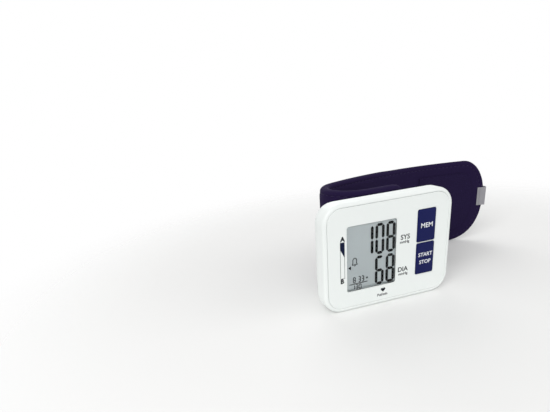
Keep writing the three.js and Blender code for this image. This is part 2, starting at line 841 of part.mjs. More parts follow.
const band = (inner, outer, near, end, margin) => prism(
  'z', bandShape(inner, outer, near, end), bandBottom + margin, bandTop - margin, bandSteps);
const farTurn = (length) => length / farRadius;

// Cover: the outer cloth, turned in along every edge so that it makes a shallow tray
function cuffCover() {
  const pocket = band(-overrun, coverOffset, nearEnd - hem, stiffEnd + farTurn(hem), hem);
  return cut(band(0, bandThickness, nearEnd, stiffEnd, 0), [pocket, ...cuffHoles(nippleRadius)]);
}

// Holes for the port and the screws through the near straight
function cuffHoles(portRadius) {
  const from = caseDepth;
  const to = wristY;
  return [
    rod('y', portX, teeZ, portRadius + seat, from, to),
    ...Object.values(cuffScrewPlaces).map(([x, z]) => rod('y', x, z, screwRadius + seat, from, to)),
  ];
}

function cuffFormer() {
  const strip = band(formerOffset, formerOffset + formerThickness,
    nearEnd - hem - seat, stiffEnd + farTurn(hem + seat), hem + innerMargin);
  return cut(strip, cuffHoles(portFlangeRadius));
}

function cuffBladder() {
  return band(bladderOffset, bladderOffset + bladderThickness,
    cuffScrewX - headRadius - innerMargin, stiffEnd + farTurn(bladderEndGap), hem + 2 * innerMargin);
}

function cuffLining() {
  return band(0, liningThickness, nearEnd - hem - seat, stiffEnd + farTurn(hem + seat), hem + seat);
}

// Port: a flange welded to the bladder and a bored spigot through the cover and the case
function bladderPort() {
  const flangeBack = wristY - formerOffset;
  const flangeFront = flangeBack - formerThickness;
  const tip = rearInner - nippleLength;
  const profile = [
    [portBore, tip], [nippleRadius, tip], [nippleRadius, flangeFront],
    [portFlangeRadius, flangeFront], [portFlangeRadius, flangeBack], [portBore, flangeBack], [portBore, tip],
  ].map(([radius, along]) => new THREE.Vector2(radius, along));
  return solidOf(new THREE.LatheGeometry(profile, 4 * rodSteps).translate(portX, 0, teeZ));
}

// Outline of the D-shaped end seen from the front, drawn in by a margin
function tipOutline(left, margin) {
  const centreZ = bandMiddle + tipRise;
  const right = tipX - margin;
  const quarter = (run, height, start, end) => ({ x: right - run, run, height, start, end });
  const shape = new THREE.Shape();
  shape.moveTo(left, bandTop - margin);
  shape.lineTo(left, bandBottom + margin);
  const low = quarter(tipLowRun, centreZ - bandBottom - margin, -Math.PI / 2, 0);
  const top = quarter(tipTopRun, bandTop - margin - centreZ, 0, Math.PI / 2);
  for (const { x, run, height, start, end } of [low, top]) {
    shape.absellipse(x, centreZ, run, height, start, end, false, 0);
  }
  shape.closePath();
  return shape;
}

const pivot = new THREE.Vector2(
  farX + pivotRadius * Math.cos(pivotAngle), farY + pivotRadius * Math.sin(pivotAngle));
const tailDepths = [wristY, farY + farRadius + bandThickness + overrun];

// Tail: the soft end of the strap, rounded where it bends at the end of the stiff part
function cuffTail() {
  const strap = prism('z', farShape(0, tailThickness, pivotAngle, tipAngle), bandBottom, bandTop, bandSteps)
    .add(prism('z', disc(pivot.x, pivot.y, tailThickness / 2), bandBottom, bandTop, bandSteps));
  return strap.intersect(prism('y', tipOutline(curlX, 0), ...tailDepths, tipSteps));
}

function hookPatch() {
  const start = tipAngle + farTurn(hookLength + hookMargin);
  const strip = farShape(-seat - hookThickness, -seat, start, tipAngle);
  const sheet = prism('z', strip, bandBottom, bandTop, bandSteps);
  return sheet.intersect(prism('y', tipOutline(curlX, hookMargin), ...tailDepths, tipSteps));
}

// Pull tab: a ribbon folded over the tip, drawn about the tip with U along the strap
function pullTab() {
  const inside = tailThickness / 2 + seat;
  const outside = inside + tabThickness;
  const shape = new THREE.Shape();
  shape.moveTo(-tabLap, -outside);
  shape.lineTo(tabLoop, -outside);
  shape.absellipse(tabLoop, 0, outside / 2, outside, -Math.PI / 2, Math.PI / 2, false, 0);
  shape.lineTo(-tabLap, outside);
  shape.lineTo(-tabLap, inside);
  shape.lineTo(tabLoop, inside);
  shape.absellipse(tabLoop, 0, inside / 2, inside, Math.PI / 2, -Math.PI / 2, true, 0);
  shape.lineTo(-tabLap, -inside);
  shape.closePath();
  return prism('z', shape, -tabHeight / 2, tabHeight / 2);
}

// Assembly
const monitor = new THREE.Group();

function add(name, solid, material, parent = monitor) {
  const mesh = new THREE.Mesh(geometryOf(solid), material);
  mesh.name = name;
  parent.add(mesh);
  return mesh;
}

add('front_case', frontCase(), whitePlastic);
add('face_plate', facePlate(), whitePlastic);
add('rear_case', rearCase(), whitePlastic);
add('battery_cover', batteryCover(), whitePlastic);
add('display_lens', displayLens(), clearPlastic);
add('lcd_panel', lcdPanel(), displayGlass);
add('lcd_frame', lcdFrame(), blackPlastic);
add('display_connector', displayConnector(), blackRubber);
add('main_board', mainBoard(), boardGreen);
for (const [name, z] of Object.entries(keyCentres)) {
  add(`${name}_button`, key(z), navyPlastic);
  add(`${name}_switch`, tactSwitch(z), blackPlastic);
}
for (const [name, [x, z]] of Object.entries(screwPlaces)) {
  add(`case_screw_${name}`, screw(x, z, rearStart + columnHeight, screwLength), steel);
}

add('battery_holder', batteryHolder(), greyPlastic);
add('battery_cell_inner', cell(cellInnerX, true), cellWrap);
add('battery_cell_outer', cell(cellOuterX, false), cellWrap);
add('battery_bridge', contact(cellInnerX, cellOuterX, contactZ), steel);
add('battery_contact_inner', contact(cellInnerX, cellInnerX, -contactZ - contactThickness), steel);
add('battery_contact_outer', contact(cellOuterX, cellOuterX, -contactZ - contactThickness), steel);

add('pump_motor', pumpMotor(), steel);
add('pump_head', pumpHead(), blackPlastic);
add('air_tee', airTee(), greyPlastic);
add('release_valve', releaseValve(), steel);
add('pressure_sensor', pressureSensor(), blackPlastic);
add('buzzer', buzzer(), blackPlastic);
add('pump_tube', airTube(nipples.pump, nipples.teeLeft), silicone);
add('valve_tube', airTube(nipples.valve, nipples.teeLow), silicone);
add('sensor_tube', airTube(nipples.sensor, nipples.teeTop), silicone);
add('cuff_tube', airTube(nipples.port, nipples.teeRight), silicone);

add('cuff_cover', cuffCover(), darkCloth);
add('cuff_former', cuffFormer(), greyPlastic);
add('cuff_bladder', cuffBladder(), airFilm);
add('cuff_lining', cuffLining(), darkCloth);
add('bladder_port', bladderPort(), blackPlastic);
for (const [name, [x, z]] of Object.entries(cuffScrewPlaces)) {
  add(`cuff_screw_${name}`, screw(x, z, wristY - formerOffset, cuffScrewLength), steel);
}
add('cuff_tail', cuffTail(), darkCloth);
add('hook_patch', hookPatch(), darkHook);
const tab = add('pull_tab', pullTab(), greyRibbon);
tab.position.set(
  farX + pivotRadius * Math.cos(tipAngle), farY + pivotRadius * Math.sin(tipAngle), bandMiddle + tabRise);
tab.rotation.z = tipAngle - Math.PI / 2;

const box = new THREE.Box3().setFromObject(monitor);
const middle = box.getCenter(new THREE.Vector3());
monitor.position.set(-middle.x, -middle.y, -box.min.z);

const part = new THREE.Group();
part.add(monitor);

export default part;
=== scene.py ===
"""Looks of a wrist blood pressure monitor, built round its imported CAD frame.

Shapes are drawn in millimetres about the middle of the face: X to the right, Y into the case, Z up.
"""

import logging
import math
from dataclasses import dataclass
from enum import Enum
from typing import Iterable, Sequence

import bmesh
import bpy
from bmesh.types import BMEdge, BMesh, BMFace, BMVert
from bpy.types import ID, Material, Node, NodeSocket, NodeTree, Object
from mathutils import Matrix, Vector
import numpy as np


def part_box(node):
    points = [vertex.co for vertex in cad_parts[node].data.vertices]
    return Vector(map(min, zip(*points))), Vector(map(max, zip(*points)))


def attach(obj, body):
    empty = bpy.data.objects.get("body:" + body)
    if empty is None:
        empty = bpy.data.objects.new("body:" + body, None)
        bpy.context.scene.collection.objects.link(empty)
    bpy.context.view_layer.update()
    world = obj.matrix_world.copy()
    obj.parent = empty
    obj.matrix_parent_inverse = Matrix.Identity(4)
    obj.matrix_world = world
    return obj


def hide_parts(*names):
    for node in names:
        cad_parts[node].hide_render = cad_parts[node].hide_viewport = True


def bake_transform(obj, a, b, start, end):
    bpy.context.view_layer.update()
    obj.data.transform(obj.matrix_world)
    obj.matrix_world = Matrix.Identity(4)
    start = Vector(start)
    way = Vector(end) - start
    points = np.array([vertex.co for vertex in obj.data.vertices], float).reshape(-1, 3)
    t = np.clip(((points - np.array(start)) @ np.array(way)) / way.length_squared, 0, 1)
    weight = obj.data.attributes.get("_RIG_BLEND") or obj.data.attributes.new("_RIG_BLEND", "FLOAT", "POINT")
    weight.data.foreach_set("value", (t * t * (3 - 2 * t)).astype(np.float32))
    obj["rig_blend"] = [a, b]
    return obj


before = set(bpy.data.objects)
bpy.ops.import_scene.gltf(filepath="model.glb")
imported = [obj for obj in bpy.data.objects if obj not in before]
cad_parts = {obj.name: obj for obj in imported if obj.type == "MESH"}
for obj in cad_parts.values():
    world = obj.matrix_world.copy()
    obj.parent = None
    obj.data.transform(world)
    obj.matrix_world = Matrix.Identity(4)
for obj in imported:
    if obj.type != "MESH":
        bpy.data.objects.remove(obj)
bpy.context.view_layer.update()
log = logging.getLogger("wrist_monitor")

MM = 0.001
WELD = 1e-4  # points nearer than this become one
CUT_WELD = 1e-5  # the same where a flat shape is cut
NODE_WELD = 1e-6  # the same in a CAD node, which is in metres
FLAT_WITHIN = math.radians(0.5)  # faces of a CAD node that differ by less are one flat
SMOOTH_BELOW = math.radians(35)
LEAST_CORNER = 0.1  # radius that a corner keeps when its outline shrinks
CORNER_STEPS = 10
EDGE_STEPS = 5
FONT_STEPS = 4
CAPITAL = 0.68  # height of the font's capitals, as a share of its size
PRINT_THICKNESS = 0.03
UV_SPAN = 100.0  # millimetres of cloth in one unit of a UV map
WAVE_BAND = math.tau / 20  # from band to band of a wave texture at a scale of one
GLOSS_DRIFT = 0.12  # share by which a finish's roughness drifts up and down

FACE_LOW, FACE_HIGH = (Vector(corner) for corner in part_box("front_case"))
FACE_MIDDLE = Vector(((FACE_LOW.x + FACE_HIGH.x) / 2, FACE_LOW.y, (FACE_LOW.z + FACE_HIGH.z) / 2))
FACE_TO_FRAME = Matrix.Translation(FACE_MIDDLE) @ Matrix.Scale(MM, 4)

Inputs = dict[int | str, object]  # values or outputs for the inputs of a shader node


class Body(Enum):
    """Bodies of the frame that pieces ride on."""

    MONITOR = "monitor"
    MEM_KEY = "mem_button"
    START_STOP_KEY = "start_stop_button"
    BATTERY_COVER = "battery_cover"
    TAIL = "cuff_tail"


class Slot(Enum):
    """Names of the record's material slots, which no piece here is given."""

    WHITE = "white_plastic"
    NAVY = "navy_plastic"
    CLEAR = "clear_plastic"
    GLASS = "display_glass"
    BLACK = "black_plastic"
    FILM = "air_film"
    CLOTH = "dark_cloth"
    HOOK = "dark_hook"
    RIBBON = "grey_ribbon"


class Side(Enum):
    """Sides of the strap: away from the wrist, and against it."""

    OUTER = 1
    WRIST = -1


def linear(colour: str) -> tuple[float, float, float, float]:
    """Turns an sRGB hex colour to linear values.

    Args:
        colour: Six hex digits after a number sign.

    Returns:
        Red, green, blue and an alpha of one.
    """
    parts = [int(colour[k : k + 2], 16) / 255 for k in (1, 3, 5)]
    red, green, blue = (c / 12.92 if c <= 0.04045 else ((c + 0.055) / 1.055) ** 2.4 for c in parts)
    return red, green, blue, 1.0


def feed(node: Node, sockets: Inputs) -> None:
    """Sets the inputs of a node to values, or links them to outputs of other nodes.

    Args:
        node: The node.
        sockets: Values or outputs, by input name or number.
    """
    for key, value in sockets.items():
        if isinstance(value, NodeSocket):
            node.id_data.links.new(value, node.inputs[key])
        else:
            node.inputs[key].default_value = value


def add_node(
    tree: NodeTree, kind: str, sockets: Inputs, output: int | str = 0, **settings: object
) -> NodeSocket:
    """Adds a shader node, sets it up and feeds it.

    Args:
        tree: The tree that takes the node.
        kind: Blender's type name of the node, after the part that all of them share.
        sockets: Values or outputs, by input name or number.
        output: Which of its outputs is wanted.
        settings: The node's own settings.

    Returns:
        The output.
    """
    node = tree.nodes.new(f"ShaderNode{kind}")
    for name, value in settings.items():
        setattr(node, name, value)
    feed(node, sockets)
    return node.outputs[output]


@dataclass(frozen=True)
class Finish:
    """A material: its name says what it is and how its surface was made.

    The shade is the second colour of its slow mottling, and the grit its fine surface relief.
    """

    name: str
    colour: str
    shade: str
    roughness: float
    ior: float = 1.5
    grit_mm: float = 0.5
    grit_depth_mm: float = 0.02
    mottle_mm: float = 9.0
    coordinates: str = "Object"

    def material(self) -> Material:
        """Makes the material, or finds it where it is made already.

        Returns:
            The material.
        """
        found = bpy.data.materials.get(self.name)
        if found:
            return found
        made = bpy.data.materials.new(self.name)
        made.use_nodes = True
        tree = made.node_tree
        where = add_node(tree, "TexCoord", {}, self.coordinates)
        looks = {"IOR": self.ior, **self.mottle(tree, where), **self.relief(tree, where), **self.extras()}
        feed(tree.nodes["Principled BSDF"], looks)
        return made

    def per_mm(self, size: float) -> float:
        """The texture scale that makes a feature of this many millimetres."""
        return (UV_SPAN if self.coordinates == "UV" else 1 / MM) / size

    def noise(self, tree: NodeTree, where: NodeSocket, size: float, detail: float) -> NodeSocket:
        """A cloudy pattern with features of this many millimetres."""
        return add_node(tree, "TexNoise", {"Vector": where, "Scale": self.per_mm(size), "Detail": detail})

    def mottle(self, tree: NodeTree, where: NodeSocket) -> Inputs:
        """Drifts the colour and the roughness slowly over the surface.

        Args:
            tree: The material's tree.
            where: The coordinates.

        Returns:
            The shader's inputs for both.
        """
        cloud = self.noise(tree, where, size=self.mottle_mm, detail=3.0)
        colours = {0: cloud, 6: linear(self.colour), 7: linear(self.shade)}
        low, high = (self.roughness * (1 + drift) for drift in (-GLOSS_DRIFT, GLOSS_DRIFT))
        return {
            "Base Color": add_node(tree, "Mix", colours, 2, data_type="RGBA"),
            "Roughness": add_node(tree, "MapRange", {"Value": cloud, "To Min": low, "To Max": high}),
        }

    def relief(self, tree: NodeTree, where: NodeSocket) -> Inputs:
        """The shader's inputs for the fine relief of the surface."""
        return self.bump(tree, self.noise(tree, where, size=self.grit_mm, detail=2.0))

    def bump(self, tree: NodeTree, height: NodeSocket) -> Inputs:
        """The shader's normal, from a pattern of heights."""
        depth = self.grit_depth_mm * MM
        return {"Normal": add_node(tree, "Bump", {"Height": height, "Strength": 1.0, "Distance": depth})}

    def extras(self) -> Inputs:
        """The shader's inputs that only some kinds of finish have."""
        return {}


@dataclass(frozen=True)
class ClearAcrylic(Finish):
    """Cast acrylic: see-through, with a polished gloss."""

    def extras(self) -> Inputs:
        """Lets the light through."""
        return {"Transmission Weight": 1.0}


@dataclass(frozen=True)
class CoatedGlass(Finish):
    """Polariser film on display glass: a matt grey under a thin even gloss."""

    coat: float = 0.25
    coat_roughness: float = 0.12

    def extras(self) -> Inputs:
        """Adds the gloss of the film."""
        return {"Coat Weight": self.coat, "Coat Roughness": self.coat_roughness}


@dataclass(frozen=True)
class Metal(Finish):
    """Plated or drawn metal: bright, with fine lines from the tool."""

    def extras(self) -> Inputs:
        """Makes the surface metallic."""
        return {"Metallic": 1.0}


@dataclass(frozen=True)
class SoftRubber(Finish):
    """Moulded rubber or film: dull, and a little translucent at thin edges."""

    glow: float = 0.15

    def extras(self) -> Inputs:
        """Lets some light wander under the surface."""
        return {"Subsurface Weight": self.glow, "Subsurface Scale": MM}


@dataclass(frozen=True)
class WovenCloth(Finish):
    """Cloth with threads in two directions along its own UV map.

    The thread is drawn about twice as coarse as the real one, so that the weave shows in the render.
    """

    coordinates: str = "UV"
    thread_mm: float = 0.9
    waver: float = 1.2
    sheen: float = 0.025
    sheen_roughness: float = 0.4
    sheen_tint: str = "#5A5480"

    def relief(self, tree: NodeTree, where: NodeSocket) -> Inputs:
        """Crosses two sets of threads and roughens them with stray fibres.

        Args:
            tree: The material's tree.
            where: The UV coordinates.

        Returns:
            The shader's inputs for it.
        """
        scale = self.per_mm(self.thread_mm) * WAVE_BAND
        weave = {"Vector": where, "Scale": scale, "Distortion": self.waver}
        threads = [add_node(tree, "TexWave", weave, 1, bands_direction=way) for way in ("X", "Y")]
        fibres = self.noise(tree, where, size=self.grit_mm, detail=4.0)
        crossed = add_node(tree, "Math", dict(enumerate(threads)), operation="MULTIPLY")
        return self.bump(tree, add_node(tree, "Math", {0: crossed, 1: fibres}, operation="ADD"))

    def extras(self) -> Inputs:
        """Adds the soft bloom of the fibres."""
        tint = linear(self.sheen_tint)
        return {"Sheen Weight": self.sheen, "Sheen Roughness": self.sheen_roughness, "Sheen Tint": tint}


@dataclass(frozen=True)
class FadedPaper(Finish):
    """Paper that runs out into the backdrop at its reach, over the share of it that is its fade."""

    reach_mm: float = 330.0
    fade: float = 0.55

    def relief(self, tree: NodeTree, where: NodeSocket) -> Inputs:
        """Fades the sheet out towards its rim instead of roughening it.

        Args:
            tree: The material's tree.
            where: The coordinates.

        Returns:
            The shader's inputs for it.
        """
        span = 1 / (self.reach_mm * MM)
        nearer = add_node(tree, "Mapping", {"Vector": where, "Scale": (span, span, span)})
        ball = add_node(tree, "TexGradient", {"Vector": nearer}, 1, gradient_type="SPHERICAL")
        cover = {"Value": ball, "From Max": self.fade}
        return {"Alpha": add_node(tree, "MapRange", cover, interpolation_type="SMOOTHSTEP")}


# ABS, moulded in a spark-eroded tool: a fine even grain and a soft broad gloss
WHITE_ABS = Finish(
    "abs_moulded_white", "#F1F5F3", "#ECF1EF",
    roughness=0.42, ior=1.54, grit_mm=0.7, grit_depth_mm=0.006, mottle_mm=30.0,
)
# ABS, moulded in the same kind of tool: deep blue, its gloss a little tighter
NAVY_ABS = Finish(
    "abs_moulded_navy", "#0B1350", "#0A114A",
    roughness=0.5, ior=1.25, grit_mm=0.7, grit_depth_mm=0.006, mottle_mm=12.0,
)
# Polystyrene, moulded: plain grey carriers that are seen only when the case is open
GREY_PS = Finish(
    "polystyrene_moulded_grey", "#A9ADB0", "#A0A4A8",
    roughness=0.5, ior=1.57, grit_mm=0.8, grit_depth_mm=0.02, mottle_mm=10.0,
)
# Nylon, moulded: near black with a dull skin
BLACK_NYLON = Finish(
    "nylon_moulded_black", "#1A1B1D", "#202224",
    roughness=0.55, ior=1.53, grit_mm=0.6, grit_depth_mm=0.02, mottle_mm=6.0,
)
# Silicone rubber, pressed: black and dull
BLACK_RUBBER = SoftRubber(
    "silicone_pressed_black", "#141416", "#1B1B1E",
    roughness=0.65, ior=1.41, grit_mm=0.5, grit_depth_mm=0.02, mottle_mm=5.0,
)
# Silicone tube, extruded: milky, soft gloss
MILKY_TUBE = SoftRubber(
    "silicone_extruded_milky", "#DAD8CF", "#CFCDC4",
    roughness=0.38, ior=1.41, grit_mm=0.9, grit_depth_mm=0.01, mottle_mm=6.0,
    glow=0.5,
)
# Polyurethane film, welded: a dark grey bladder with a dull sheen
AIR_FILM = SoftRubber(
    "polyurethane_film_welded", "#3A3B40", "#36373C",
    roughness=0.5, ior=1.5, grit_mm=1.2, grit_depth_mm=0.02, mottle_mm=8.0,
)
# Glass-fibre board under solder mask: green, glossy, with the cloth just showing
BOARD = Finish(
    "fibreglass_solder_mask_green", "#1C5A3A", "#174E32",
    roughness=0.3, ior=1.55, grit_mm=0.9, grit_depth_mm=0.01, mottle_mm=3.0,
)
# Steel, plated and turned: bright with fine tool lines
STEEL = Metal(
    "steel_plated_turned", "#C9CACC", "#B9BBBE",
    roughness=0.3, ior=1.5, grit_mm=0.25, grit_depth_mm=0.004, mottle_mm=4.0,
)
# Printed film shrunk on a steel can: dark with a satin gloss
CELL_SLEEVE = Finish(
    "film_shrunk_on_cell", "#2E3338", "#3B4147",
    roughness=0.32, ior=1.5, grit_mm=1.5, grit_depth_mm=0.004, mottle_mm=14.0,
)
# Acrylic, cast, polished and coated against glare: clear and smooth, with few reflections
LENS_ACRYLIC = ClearAcrylic(
    "acrylic_polished_coated", "#FFFFFF", "#FCFEFF",
    roughness=0.03, ior=1.2, grit_mm=8.0, grit_depth_mm=0.0005, mottle_mm=20.0,
)
# Polariser film over a liquid crystal cell: neutral grey, even, faintly glossy
DISPLAY_GREY = CoatedGlass(
    "polariser_film_grey", "#B5BDBE", "#B1B9BB",
    roughness=0.55, ior=1.5, grit_mm=0.4, grit_depth_mm=0.002, mottle_mm=25.0,
)
# Driven liquid crystal: near black, a hair soft at its edges
DISPLAY_INK = Finish(
    "liquid_crystal_driven", "#08090B", "#0B0C0E",
    roughness=0.6, ior=1.15, grit_mm=0.6, grit_depth_mm=0.001, mottle_mm=4.0,
)
# Pad-printed ink: dark grey, matt, thin
PRINT_GREY = Finish(
    "ink_pad_printed_grey", "#1B1E23", "#1F2227",
    roughness=0.65, ior=1.2, grit_mm=0.3, grit_depth_mm=0.004, mottle_mm=2.0,
)
# Pad-printed ink: navy, matt, thin
PRINT_NAVY = Finish(
    "ink_pad_printed_navy", "#121937", "#101732",
    roughness=0.6, ior=1.2, grit_mm=0.3, grit_depth_mm=0.004, mottle_mm=2.0,
)
# Pad-printed ink: white, matt, on the keys
PRINT_WHITE = Finish(
    "ink_pad_printed_white", "#EDEFF3", "#E4E7EC",
    roughness=0.5, ior=1.5, grit_mm=0.3, grit_depth_mm=0.004, mottle_mm=2.0,
)
# Polyester loop cloth, knitted and brushed: very dark violet navy, soft bloom at its edges
CUFF_CLOTH = WovenCloth(
    "polyester_knit_brushed", "#1E1336", "#201538",
    roughness=0.9, ior=1.22, grit_mm=0.5, grit_depth_mm=0.06, mottle_mm=18.0,
)
# Nylon taffeta, woven: the lining, a little smoother and cooler
LINING = WovenCloth(
    "nylon_taffeta_woven", "#1D1335", "#1F1437",
    roughness=0.85, ior=1.22, grit_mm=0.4, grit_depth_mm=0.04, mottle_mm=14.0,
    thread_mm=0.7,
)
# Polyester thread, spun: the strap's own colour, a touch lighter
THREAD = Finish(
    "polyester_thread_spun", "#22163E", "#20143A",
    roughness=0.7, ior=1.35, grit_mm=0.25, grit_depth_mm=0.03, mottle_mm=1.5,
)
# Polyamide hook tape, woven with cut hooks: dark, bristly
HOOK_TAPE = WovenCloth(
    "polyamide_hook_woven", "#1D1335", "#1E1436",
    roughness=0.85, ior=1.22, grit_mm=0.6, grit_depth_mm=0.15, mottle_mm=10.0,
    thread_mm=1.4,
)
# Polyester grosgrain ribbon, woven: mid grey with ribs across
RIBBON = WovenCloth(
    "polyester_ribbon_woven", "#9A999E", "#939297",
    roughness=0.7, ior=1.5, grit_mm=0.4, grit_depth_mm=0.12, mottle_mm=5.0,
    thread_mm=0.8, sheen_tint="#C8C4C8",
)
# Coated paper: a pale matt sheet that runs out into the white backdrop
FLOOR_PAPER = FadedPaper(
    "paper_coated_pale", "#F4F4F3", "#F1F1F0",
    roughness=0.9, ior=1.45, grit_mm=2.0, grit_depth_mm=0.01, mottle_mm=200.0,
)


@dataclass(frozen=True)
class Outline:
    """A rectangle with round corners, in the plane of the face."""

    width: float
    height: float
    corner: float
    x: float = 0.0
    z: float = 0.0

    def grown(self, by: float) -> "Outline":
        """The outline pushed out by so much all round."""
        corner = max(self.corner + by, LEAST_CORNER)
        return Outline(self.width + 2 * by, self.height + 2 * by, corner, self.x, self.z)

    def sides(self) -> tuple[float, float, float, float]:
        """X of its left and right side, and Z of its lower and upper one."""
        across, up = self.width / 2, self.height / 2
        return self.x - across, self.x + across, self.z - up, self.z + up


def round_corners(shape: BMesh, corners: list[BMVert], radius: float, steps: int) -> BMFace:
    """Rounds corners of a flat face that lies alone.

    Args:
        shape: The mesh.
        corners: The corners.
        radius: Radius of the rounding.
        steps: How many edges a corner gets.

    Returns:
        The face.
    """
    rounded = bmesh.ops.bevel(
        shape,
        geom=corners,
        offset=radius,
        offset_type="OFFSET",
        affect="VERTICES",
        segments=steps,
        profile=0.5,
        material=-1,
    )
    return rounded["verts"][0].link_faces[0]


def ring(shape: BMesh, outline: Outline, depth: float) -> list[BMEdge]:
    """Adds a closed loop of edges along an outline.

    Args:
        shape: The mesh that takes the loop.
        outline: The outline to follow.
        depth: How far behind the face it lies.

    Returns:
        The loop's edges.
    """
    signs = ((-1, -1), (1, -1), (1, 1), (-1, 1))
    half = Vector((outline.width / 2, outline.height / 2))
    corners = [shape.verts.new((outline.x + i * half.x, depth, outline.z + k * half.y)) for i, k in signs]
    shape.faces.new(corners)
    face = round_corners(shape, corners, outline.corner, CORNER_STEPS)
    edges = list(face.edges)
    bmesh.ops.delete(shape, geom=[face], context="FACES_ONLY")
    return edges


def wall(shape: BMesh, outline: Outline, steps: Sequence[tuple[float, float]]) -> list[list[BMEdge]]:
    """Adds a wall that follows an outline through several depths.

    Args:
        shape: The mesh that takes the wall.
        outline: The outline to follow.
        steps: How far the outline grows, and its depth, from one rim to the other.

    Returns:
        The loops, in the order of the steps.
    """
    loops = [ring(shape, outline.grown(grow), depth) for grow, depth in steps]
    for one, other in zip(loops, loops[1:]):
        bmesh.ops.bridge_loops(shape, edges=[*one, *other])
    return loops


def close_ends(shape: BMesh, *walls: list[list[BMEdge]]) -> None:
    """Closes the flats at both ends of a wall, round the walls of the holes in it.

    Args:
        shape: The mesh.
        walls: Loops of the outer wall, then of each hole's, all from the back to the front.
    """
    for end in (-1, 0):
        edges = [edge for loops in walls for edge in loops[end]]
        bmesh.ops.triangle_fill(shape, edges=edges, use_beauty=True, use_dissolve=False, normal=(0, -1, 0))


def rounding(radius: float, front: float, outward: int = 1) -> list[tuple[float, float]]:
    """Growth and depth of each step of a rounded front edge; outward is -1 on the edge of a hole."""
    turns = [math.pi / 2 * k / EDGE_STEPS for k in range(EDGE_STEPS + 1)]
    return [(-outward * radius * (1 - math.cos(a)), front + radius * (1 - math.sin(a))) for a in turns]


def slab(shape: BMesh, corners: Iterable[tuple[float, float]], front: float, back: float) -> None:
    """Adds a flat polygon with a thickness.

    Args:
        shape: The mesh that takes the slab.
        corners: X and Z of its corners, in order.
        front: Depth of its front.
        back: Depth of its back.
    """
    face = shape.faces.new([shape.verts.new((x, front, z)) for x, z in corners])
    pushed = bmesh.ops.extrude_face_region(shape, geom=[face], use_keep_orig=True)["geom"]
    moved = [part for part in pushed if isinstance(part, BMVert)]
    bmesh.ops.translate(shape, verts=moved, vec=(0, back - front, 0))


def put(name: str, data: ID) -> Object:
    """Puts an object in the scene.

    Args:
        name: Name of the object.
        data: Its mesh, curve, camera or lamp.

    Returns:
        The object.
    """
    made = bpy.data.objects.new(name, data)
    bpy.context.collection.objects.link(made)
    return made


def dress(node: str, finish: Finish) -> None:
    """Gives a CAD node a finish in place of its own.

    Args:
        node: Name of the node.
        finish: The finish.
    """
    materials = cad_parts[node].data.materials
    materials.clear()
    materials.append(finish.material())
    log.info("%s: %s", node, finish.name)


def make_piece(
    shape: BMesh,
    name: str,
    finishes: Sequence[Finish],
    nodes: Sequence[str] = (),
    to_frame: Matrix = FACE_TO_FRAME,
) -> Object:
    """Closes a shape, puts it in the frame and dresses it.

    Args:
        shape: The mesh, which is used up.
        name: Name of the piece.
        finishes: Its finishes, in the order of its material numbers.
        nodes: The CAD nodes that it replaces.
        to_frame: What takes the mesh to the frame.

    Returns:
        The piece, which rides on nothing yet.
    """
    bmesh.ops.remove_doubles(shape, verts=shape.verts, dist=WELD)
    bmesh.ops.recalc_face_normals(shape, faces=shape.faces)
    bmesh.ops.transform(shape, matrix=to_frame, verts=shape.verts)
    for face in shape.faces:
        face.smooth = True
    for edge in shape.edges:
        edge.smooth = edge.calc_face_angle(0.0) < SMOOTH_BELOW
    mesh = bpy.data.meshes.new(name)
    shape.to_mesh(mesh)
    shape.free()
    piece = put(name, mesh)
    for finish in finishes:
        mesh.materials.append(finish.material())
    if nodes:
        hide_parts(*nodes)
    log.info("%s: %d faces", name, len(mesh.polygons))
    return piece


def even_shading(piece: Object) -> None:
    """Keeps flats flat beside roundings on a hard piece."""
    normals = piece.modifiers.new("even_shading", "WEIGHTED_NORMAL")
    normals.keep_sharp = True


@dataclass(frozen=True)
class Word:
    """A printed word: its middle on the face, the height of its capitals and its added weight."""

    text: str
    x: float
    z: float
    height: float
    weight: float


def lettering(word: Word, name: str, finish: Finish, depth: float) -> Object:
    """Prints a word on a surface that faces the front.

    Args:
        word: What is printed, and where.
        name: Name of the piece.
        finish: The ink.
        depth: Depth of the middle of the ink.

    Returns:
        The piece, which rides on nothing yet.
    """
    curve = bpy.data.curves.new(name, "FONT")
    curve.body = word.text
    curve.size = word.height / CAPITAL
    curve.align_x = "CENTER"
    curve.align_y = "CENTER"
    curve.offset = word.weight
    curve.extrude = PRINT_THICKNESS / 2
    curve.resolution_u = FONT_STEPS
    drawn = put(name, curve)
    flat = bpy.data.meshes.new_from_object(drawn.evaluated_get(bpy.context.evaluated_depsgraph_get()))
    bpy.data.objects.remove(drawn)
    bpy.data.curves.remove(curve)
    shape = bmesh.new()
    shape.from_mesh(flat)
    bpy.data.meshes.remove(flat)
    bmesh.ops.rotate(shape, verts=shape.verts, matrix=Matrix.Rotation(math.pi / 2, 3, "X"))
    bmesh.ops.translate(shape, verts=shape.verts, vec=(word.x, depth, word.z))
    for face in shape.faces:
        face.material_index = 0
    return make_piece(shape, name, [finish])


